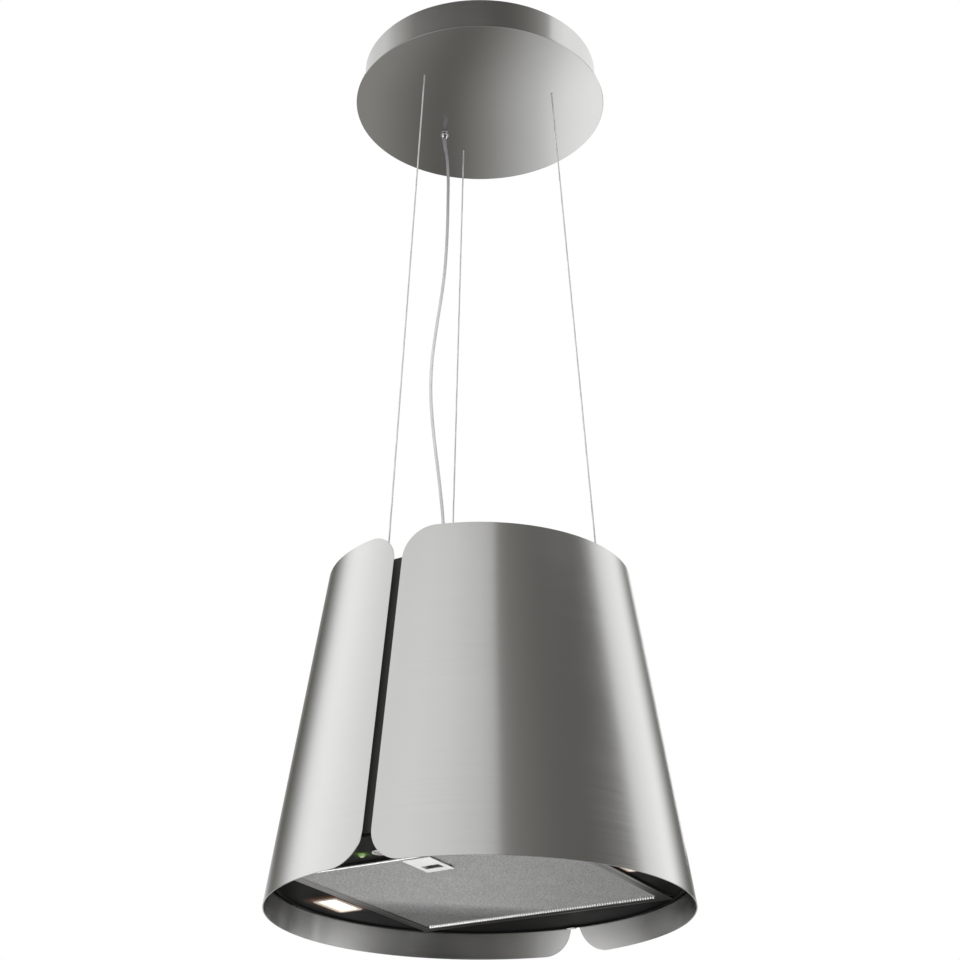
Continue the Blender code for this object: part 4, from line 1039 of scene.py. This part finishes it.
def make_controls():
    """Indicator dome, then four chrome rings with a push button in each."""
    under = PANEL_LOW - 0.0003
    over = PANEL_LOW + PANEL_SHEET + 0.0003
    lens = [(0, under - 0.0028), (0.0014, under - 0.0027), (0.0024, under - 0.0022),
            (0.0031, under - 0.0014), (0.0034, under - 0.0005), (0.0035, over),
            (0.0035, over + 0.0030), (0, over + 0.0030)]
    ring = [(0.0064, under), (0.0064, under - 0.0010), (0.0067, under - 0.0015),
            (0.0073, under - 0.0017), (0.0080, under - 0.0014), (0.0085, under - 0.0008),
            (0.0085, under)]
    cap = [(0, under - 0.0018), (0.0030, under - 0.0019), (0.0046, under - 0.0022),
           (0.0054, under - 0.0021), (0.0060, under - 0.0015), (0.0060, over), (0.0080, over),
           (0.0080, over + 0.0014), (0.0050, over + 0.0014), (0.0050, over + 0.0060),
           (0, over + 0.0060)]
    for number, step in enumerate(CONTROL_STEPS):
        centre = (CONTROL_PITCH * step, CONTROL_Y)
        if step == INDICATOR_STEP:
            place_piece("indicator_dome", turned(lens, 28, centre, -DROP), "green_lens", "hood",
                        "green_lens", ["indicator_lens"], crease=50)
            continue
        place_piece(f"key_ring_{number}", turned(ring, 48, centre, -DROP), "key_ring", "hood",
                    "chrome", [f"button_ring_{number}"], crease=50)
        place_piece(f"key_cap_{number}", turned(cap, 40, centre, -DROP), "key_cap",
                    f"push_button_{number}", "brushed_steel", [f"button_{number}"], crease=35)


def make_rear_clip():
    """Bent spring-steel clip that holds the panel's rear rim."""
    y = PANEL_RADIUS + 0.0003
    low, high = PANEL_LOW - PANEL_LIP_DROP, PANEL_LOW + PANEL_SHEET
    profile = [(y - 0.0050, low - 0.0002), (y - 0.0048, low - 0.0007), (y + 0.0008, low - 0.0007),
               (y + 0.0016, low + 0.0002), (y + 0.0016, high - 0.0005), (y + 0.0011, high),
               (y + 0.0004, high), (y + 0.0009, high - 0.0008), (y + 0.0009, low + 0.0006),
               (y + 0.0004, low - 0.0001)]
    clip = drawn([(along, hood(height)) for along, height in profile], (-0.0075, 0.0015))
    place_piece("panel_clip", clip, "clip", "hood", "chrome", ["rear_clip"], crease=30)


# ------------------------------------------------------------------- carried-over nodes
def numbered(stem, count):
    return [f"{stem}_{number}" for number in range(1, count + 1)]


NODE_LOOKS = {
    "zinc_steel": ["ceiling_bracket", *numbered("canopy_screw", 2), "motor_bracket",
                   "blower_strap_left", "blower_strap_right"],
    "white_plastic": ["terminal_box", "terminal_lid"],
    "chrome": [*numbered("wire_gripper", 3), *numbered("wire_anchor", 3), "motor_shaft"],
    "black_plastic": [*numbered("petal_standoff", 4), "keypad_housing", "latch_slider",
                      "electronics_box"],
    "black_paint": ["inner_casing", "top_plate"],
    "motor_steel": ["led_module_left", "led_module_right", "motor", "capacitor"],
    "fan_plastic": ["blower_housing_left", "blower_housing_right", "impeller"],
    "carbon": ["carbon_filter"],
}


def dress_nodes():
    for look, names in NODE_LOOKS.items():
        for name in names:
            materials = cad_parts[name].data.materials
            materials.clear()
            materials.append(MATERIALS[look])


# ------------------------------------------------------------------------------- light
# brightness round the studio, as (azimuth less the camera's in degrees, value) pairs
SKY_UPPER = ((-180, 0.19), (-157, 0.11), (-147, 0.17), (-140, 0.33), (-135, 0.52), (-129, 0.84),
             (-123, 1.22), (-112, 1.40), (-100, 1.32), (-78, 1.08), (-62, 0.97), (-40, 1.06),
             (-22, 1.04), (0, 0.88), (9, 0.74), (14, 0.36), (22, 0.27), (32, 0.22), (45, 0.175),
             (62, 0.15), (74, 0.15), (85, 0.17), (93, 0.27), (97, 0.55), (101, 0.90), (112, 1.18),
             (127, 1.36), (133, 1.12), (139, 0.68), (147, 0.28), (157, 0.15), (180, 0.19))
SKY_LOWER = ((-180, 0.42), (-165, 1.05), (-156, 0.90), (-143, 0.36), (-129, 0.10), (-118, 0.10),
             (-100, 1.05), (-80, 1.42), (-70, 1.50), (-57, 1.48), (-47, 1.28), (-38, 0.90),
             (-30, 0.54), (-22, 0.29), (-6, 0.10), (20, 0.03), (48, 0.055), (56, 0.14),
             (63, 0.30), (71, 0.62), (79, 1.10), (90, 1.50), (97, 1.22), (104, 0.95), (110, 1.20),
             (118, 1.66), (124, 1.20), (130, 0.22), (145, 0.05), (156, 0.20), (166, 0.95),
             (180, 0.42))
SKY_GROUND = ((-180, 0.16), (-130, 0.20), (-100, 0.50), (-60, 0.66), (-20, 0.34), (10, 0.30),
              (40, 0.54), (80, 0.72), (110, 0.46), (140, 0.20), (180, 0.16))
RING_CARD = ((-180, 1.0), (-96, 0.85), (-84, 0.60), (-71, 0.41), (-60, 0.23), (-49, 0.18),
             (-40, 0.15), (-22, 0.115), (13, 0.115), (22, 0.125), (30, 0.15), (40, 0.20),
             (50, 0.29), (60, 0.43), (64, 0.52), (66.5, 1.0), (83, 1.2), (180, 1.0))
# what the canopy's steel shows, as (metres across the canopy, value) pairs
BACK_CARD = ((-0.140, 0.21), (-0.110, 0.16), (-0.080, 0.115), (-0.050, 0.09), (-0.034, 0.10),
             (-0.019, 0.13), (-0.004, 0.17), (0.011, 0.21), (0.042, 0.33), (0.073, 0.46),
             (0.103, 0.66), (0.134, 0.75), (0.150, 0.77))
WHITE = (1.0, 1.0, 1.0, 1.0)
STRAIGHT_DOWN = (0.42, 0.42, 0.42, 1.0)


def tinted(value):
    """Grey light, a little warm where it is dim."""
    return (value, value, value) if value > 0.45 else (value, value * 0.985, value * 0.925)


def lit_stops(table, low=-180, high=180):
    """Ramp stops from (place, brightness) pairs."""
    return [(place, tinted(value)) for place, value in scaled(table, low, high)]


def from_camera(x, y, z):
    """The place x to the camera's right, y away from the camera and z up."""
    turn = math.radians(VIEW_AZIMUTH)
    return Vector((x * math.cos(turn) - y * math.sin(turn),
                   x * math.sin(turn) + y * math.cos(turn), z))


def make_world():
    """Soft studio surround: broad light and dark fields for the steel to mirror."""
    world = bpy.data.worlds.new("studio")
    world.use_nodes = True
    bpy.context.scene.world = world
    sky = Nodes(world.node_tree)
    sky.tree.nodes.clear()
    direction = sky.node("ShaderNodeTexCoord").outputs["Generated"]
    azimuth = sky.azimuth(direction, VIEW_AZIMUTH)
    rise = sky.parts(direction)["Z"]
    upper, lower, ground = (sky.ramp(azimuth, lit_stops(table))
                            for table in (SKY_UPPER, SKY_LOWER, SKY_GROUND))

    def over(low, high, below, above):
        """One light below the elevation low, another above high, in degrees."""
        share = sky.spread(rise, math.sin(math.radians(low)), math.sin(math.radians(high)),
                           way="SMOOTHSTEP")
        return sky.mix(below, above, "MIX", share)

    field = over(12, 19, lower, upper)
    field = over(58, 75, field, WHITE)
    field = over(-21, -13, ground, field)
    field = over(-65, -50, STRAIGHT_DOWN, field)
    mirrored = sky.filled("ShaderNodeBackground", field).outputs[0]
    seen = sky.filled("ShaderNodeBackground", WHITE).outputs[0]
    by_camera = sky.node("ShaderNodeLightPath").outputs["Is Camera Ray"]
    choice = sky.filled("ShaderNodeMixShader", by_camera, mirrored, seen).outputs[0]
    sky.filled("ShaderNodeOutputWorld", choice)


def stage_card(name, bm, stops, place_of):
    """A studio card that only mirrors see; place_of gives 0 to 1 for the ramp."""
    material = bpy.data.materials.new(name)
    material.use_nodes = True
    glow = Nodes(material.node_tree)
    glow.tree.nodes.clear()
    place = glow.node("ShaderNodeTexCoord").outputs["Object"]
    light = glow.filled("ShaderNodeEmission", glow.ramp(place_of(glow, place), stops)).outputs[0]
    glow.filled("ShaderNodeOutputMaterial", light)
    card = mesh_object(name, bm, material)
    card.visible_camera = False
    card.visible_diffuse = False
    card.visible_transmission = False
    card.visible_shadow = False


def make_ring_card():
    """A ring above the canopy, mirrored by the canopy's wall."""
    height, inner, outer, steps = 0.35, 0.22, 0.95, 72
    ring = stacked([([around(360 / steps * step, radius) for step in range(steps)], height)
                    for radius in (inner, outer)])
    stage_card("card_ring", ring, lit_stops(RING_CARD),
               lambda glow, place: glow.azimuth(place, VIEW_AZIMUTH))


def make_back_card():
    """A panel behind the canopy, mirrored by its disc."""
    half, low, high, behind = 0.42, -0.85, -0.12, 0.55
    lean_start, lean = -0.51, -0.36
    card_per_disc, steel = 1.28, 0.6
    bm = bmesh.new()
    bm.faces.new([bm.verts.new(from_camera(x, behind, z))
                  for x, z in corners_of((-half, low), (half, high))])

    def across(glow, place):
        side = glow.vector_math("DOT_PRODUCT", place, from_camera(1, 0, 0))
        below = glow.math("SUBTRACT", lean_start, glow.parts(place)["Z"])
        leant = glow.math("MULTIPLY_ADD", glow.math("MAXIMUM", below, 0.0), lean, side)
        return glow.math("MULTIPLY_ADD", leant, 1 / (2 * half), 0.5)

    table = [(x * card_per_disc, value / steel) for x, value in BACK_CARD]
    stage_card("card_back", bm, lit_stops(table, -half, half), across)


def make_floor():
    """A wide pale floor below the hanging hood, which turns white far away like a cove."""
    radii, steps, fade = (0.5, 2.0, 6.0, 60.0), 96, (3.6, 12.0)
    bm = bmesh.new()
    rings = [flat_ring(bm, [around(-360 / steps * step, radius) for step in range(steps)], FLOOR)
             for radius in radii]
    join_rings(bm, rings)
    bm.faces.new(rings[0])
    surface = Surface("floor_pale", Roughness=0.7)
    tone = surface.ramp(surface.noise(3, 4.0), [(0.35, (0.80, 0.80, 0.79)),
                                                (0.65, (0.84, 0.84, 0.83))])
    share = surface.spread(surface.vector_math("LENGTH", surface.place), *fade)
    surface.colour(surface.mix(tone, surface.ramp(share, [(0.0, 1.0), (1.0, 0.0)])))
    surface.glow(surface.ramp(share, [(0.0, 0.0), (1.0, 1.0)]))
    surface.bump(surface.noise(60, 3.0), 0.0005, 0.4)
    floor = mesh_object("floor", bm, surface.material)
    floor.visible_glossy = False


def make_lamps_of_studio():
    """Broad soft lights for the matt parts; the steel mirrors the surround instead."""
    target = Vector((0, 0, -0.8))
    for name, spot, power, size in (("key_soft", from_camera(-0.3, -2.5, 0.1), 45.0, 1.6),
                                    ("fill_below", from_camera(0.2, -0.9, -2.3), 38.0, 2.2)):
        data = bpy.data.lights.new(name, "AREA")
        data.shape = "DISK"
        data.size = size
        data.energy = power
        light = bpy.data.objects.new(name, data)
        light.location = spot
        light.rotation_euler = (target - spot).to_track_quat("-Z", "Y").to_euler()
        light.visible_glossy = False
        bpy.context.scene.collection.objects.link(light)


# -------------------------------------------------------------------------------- build
make_camera()
make_power_cord()
make_wire_ropes()
make_canopy()
make_cord_ends()
make_petal("petal_sheet_left", -1, "petal_left")
make_petal("petal_sheet_right", 1, "petal_right")
make_bottom_panel()
make_filter_frame()
make_filter_mesh()
make_filter_pack()
make_bead_row()
make_latch()
make_lamp("left", -1)
make_lamp("right", 1)
make_controls()
make_rear_clip()
dress_nodes()
make_world()
make_ring_card()
make_back_card()
make_floor()
make_lamps_of_studio()
bpy.context.scene.view_settings.view_transform = "Standard"
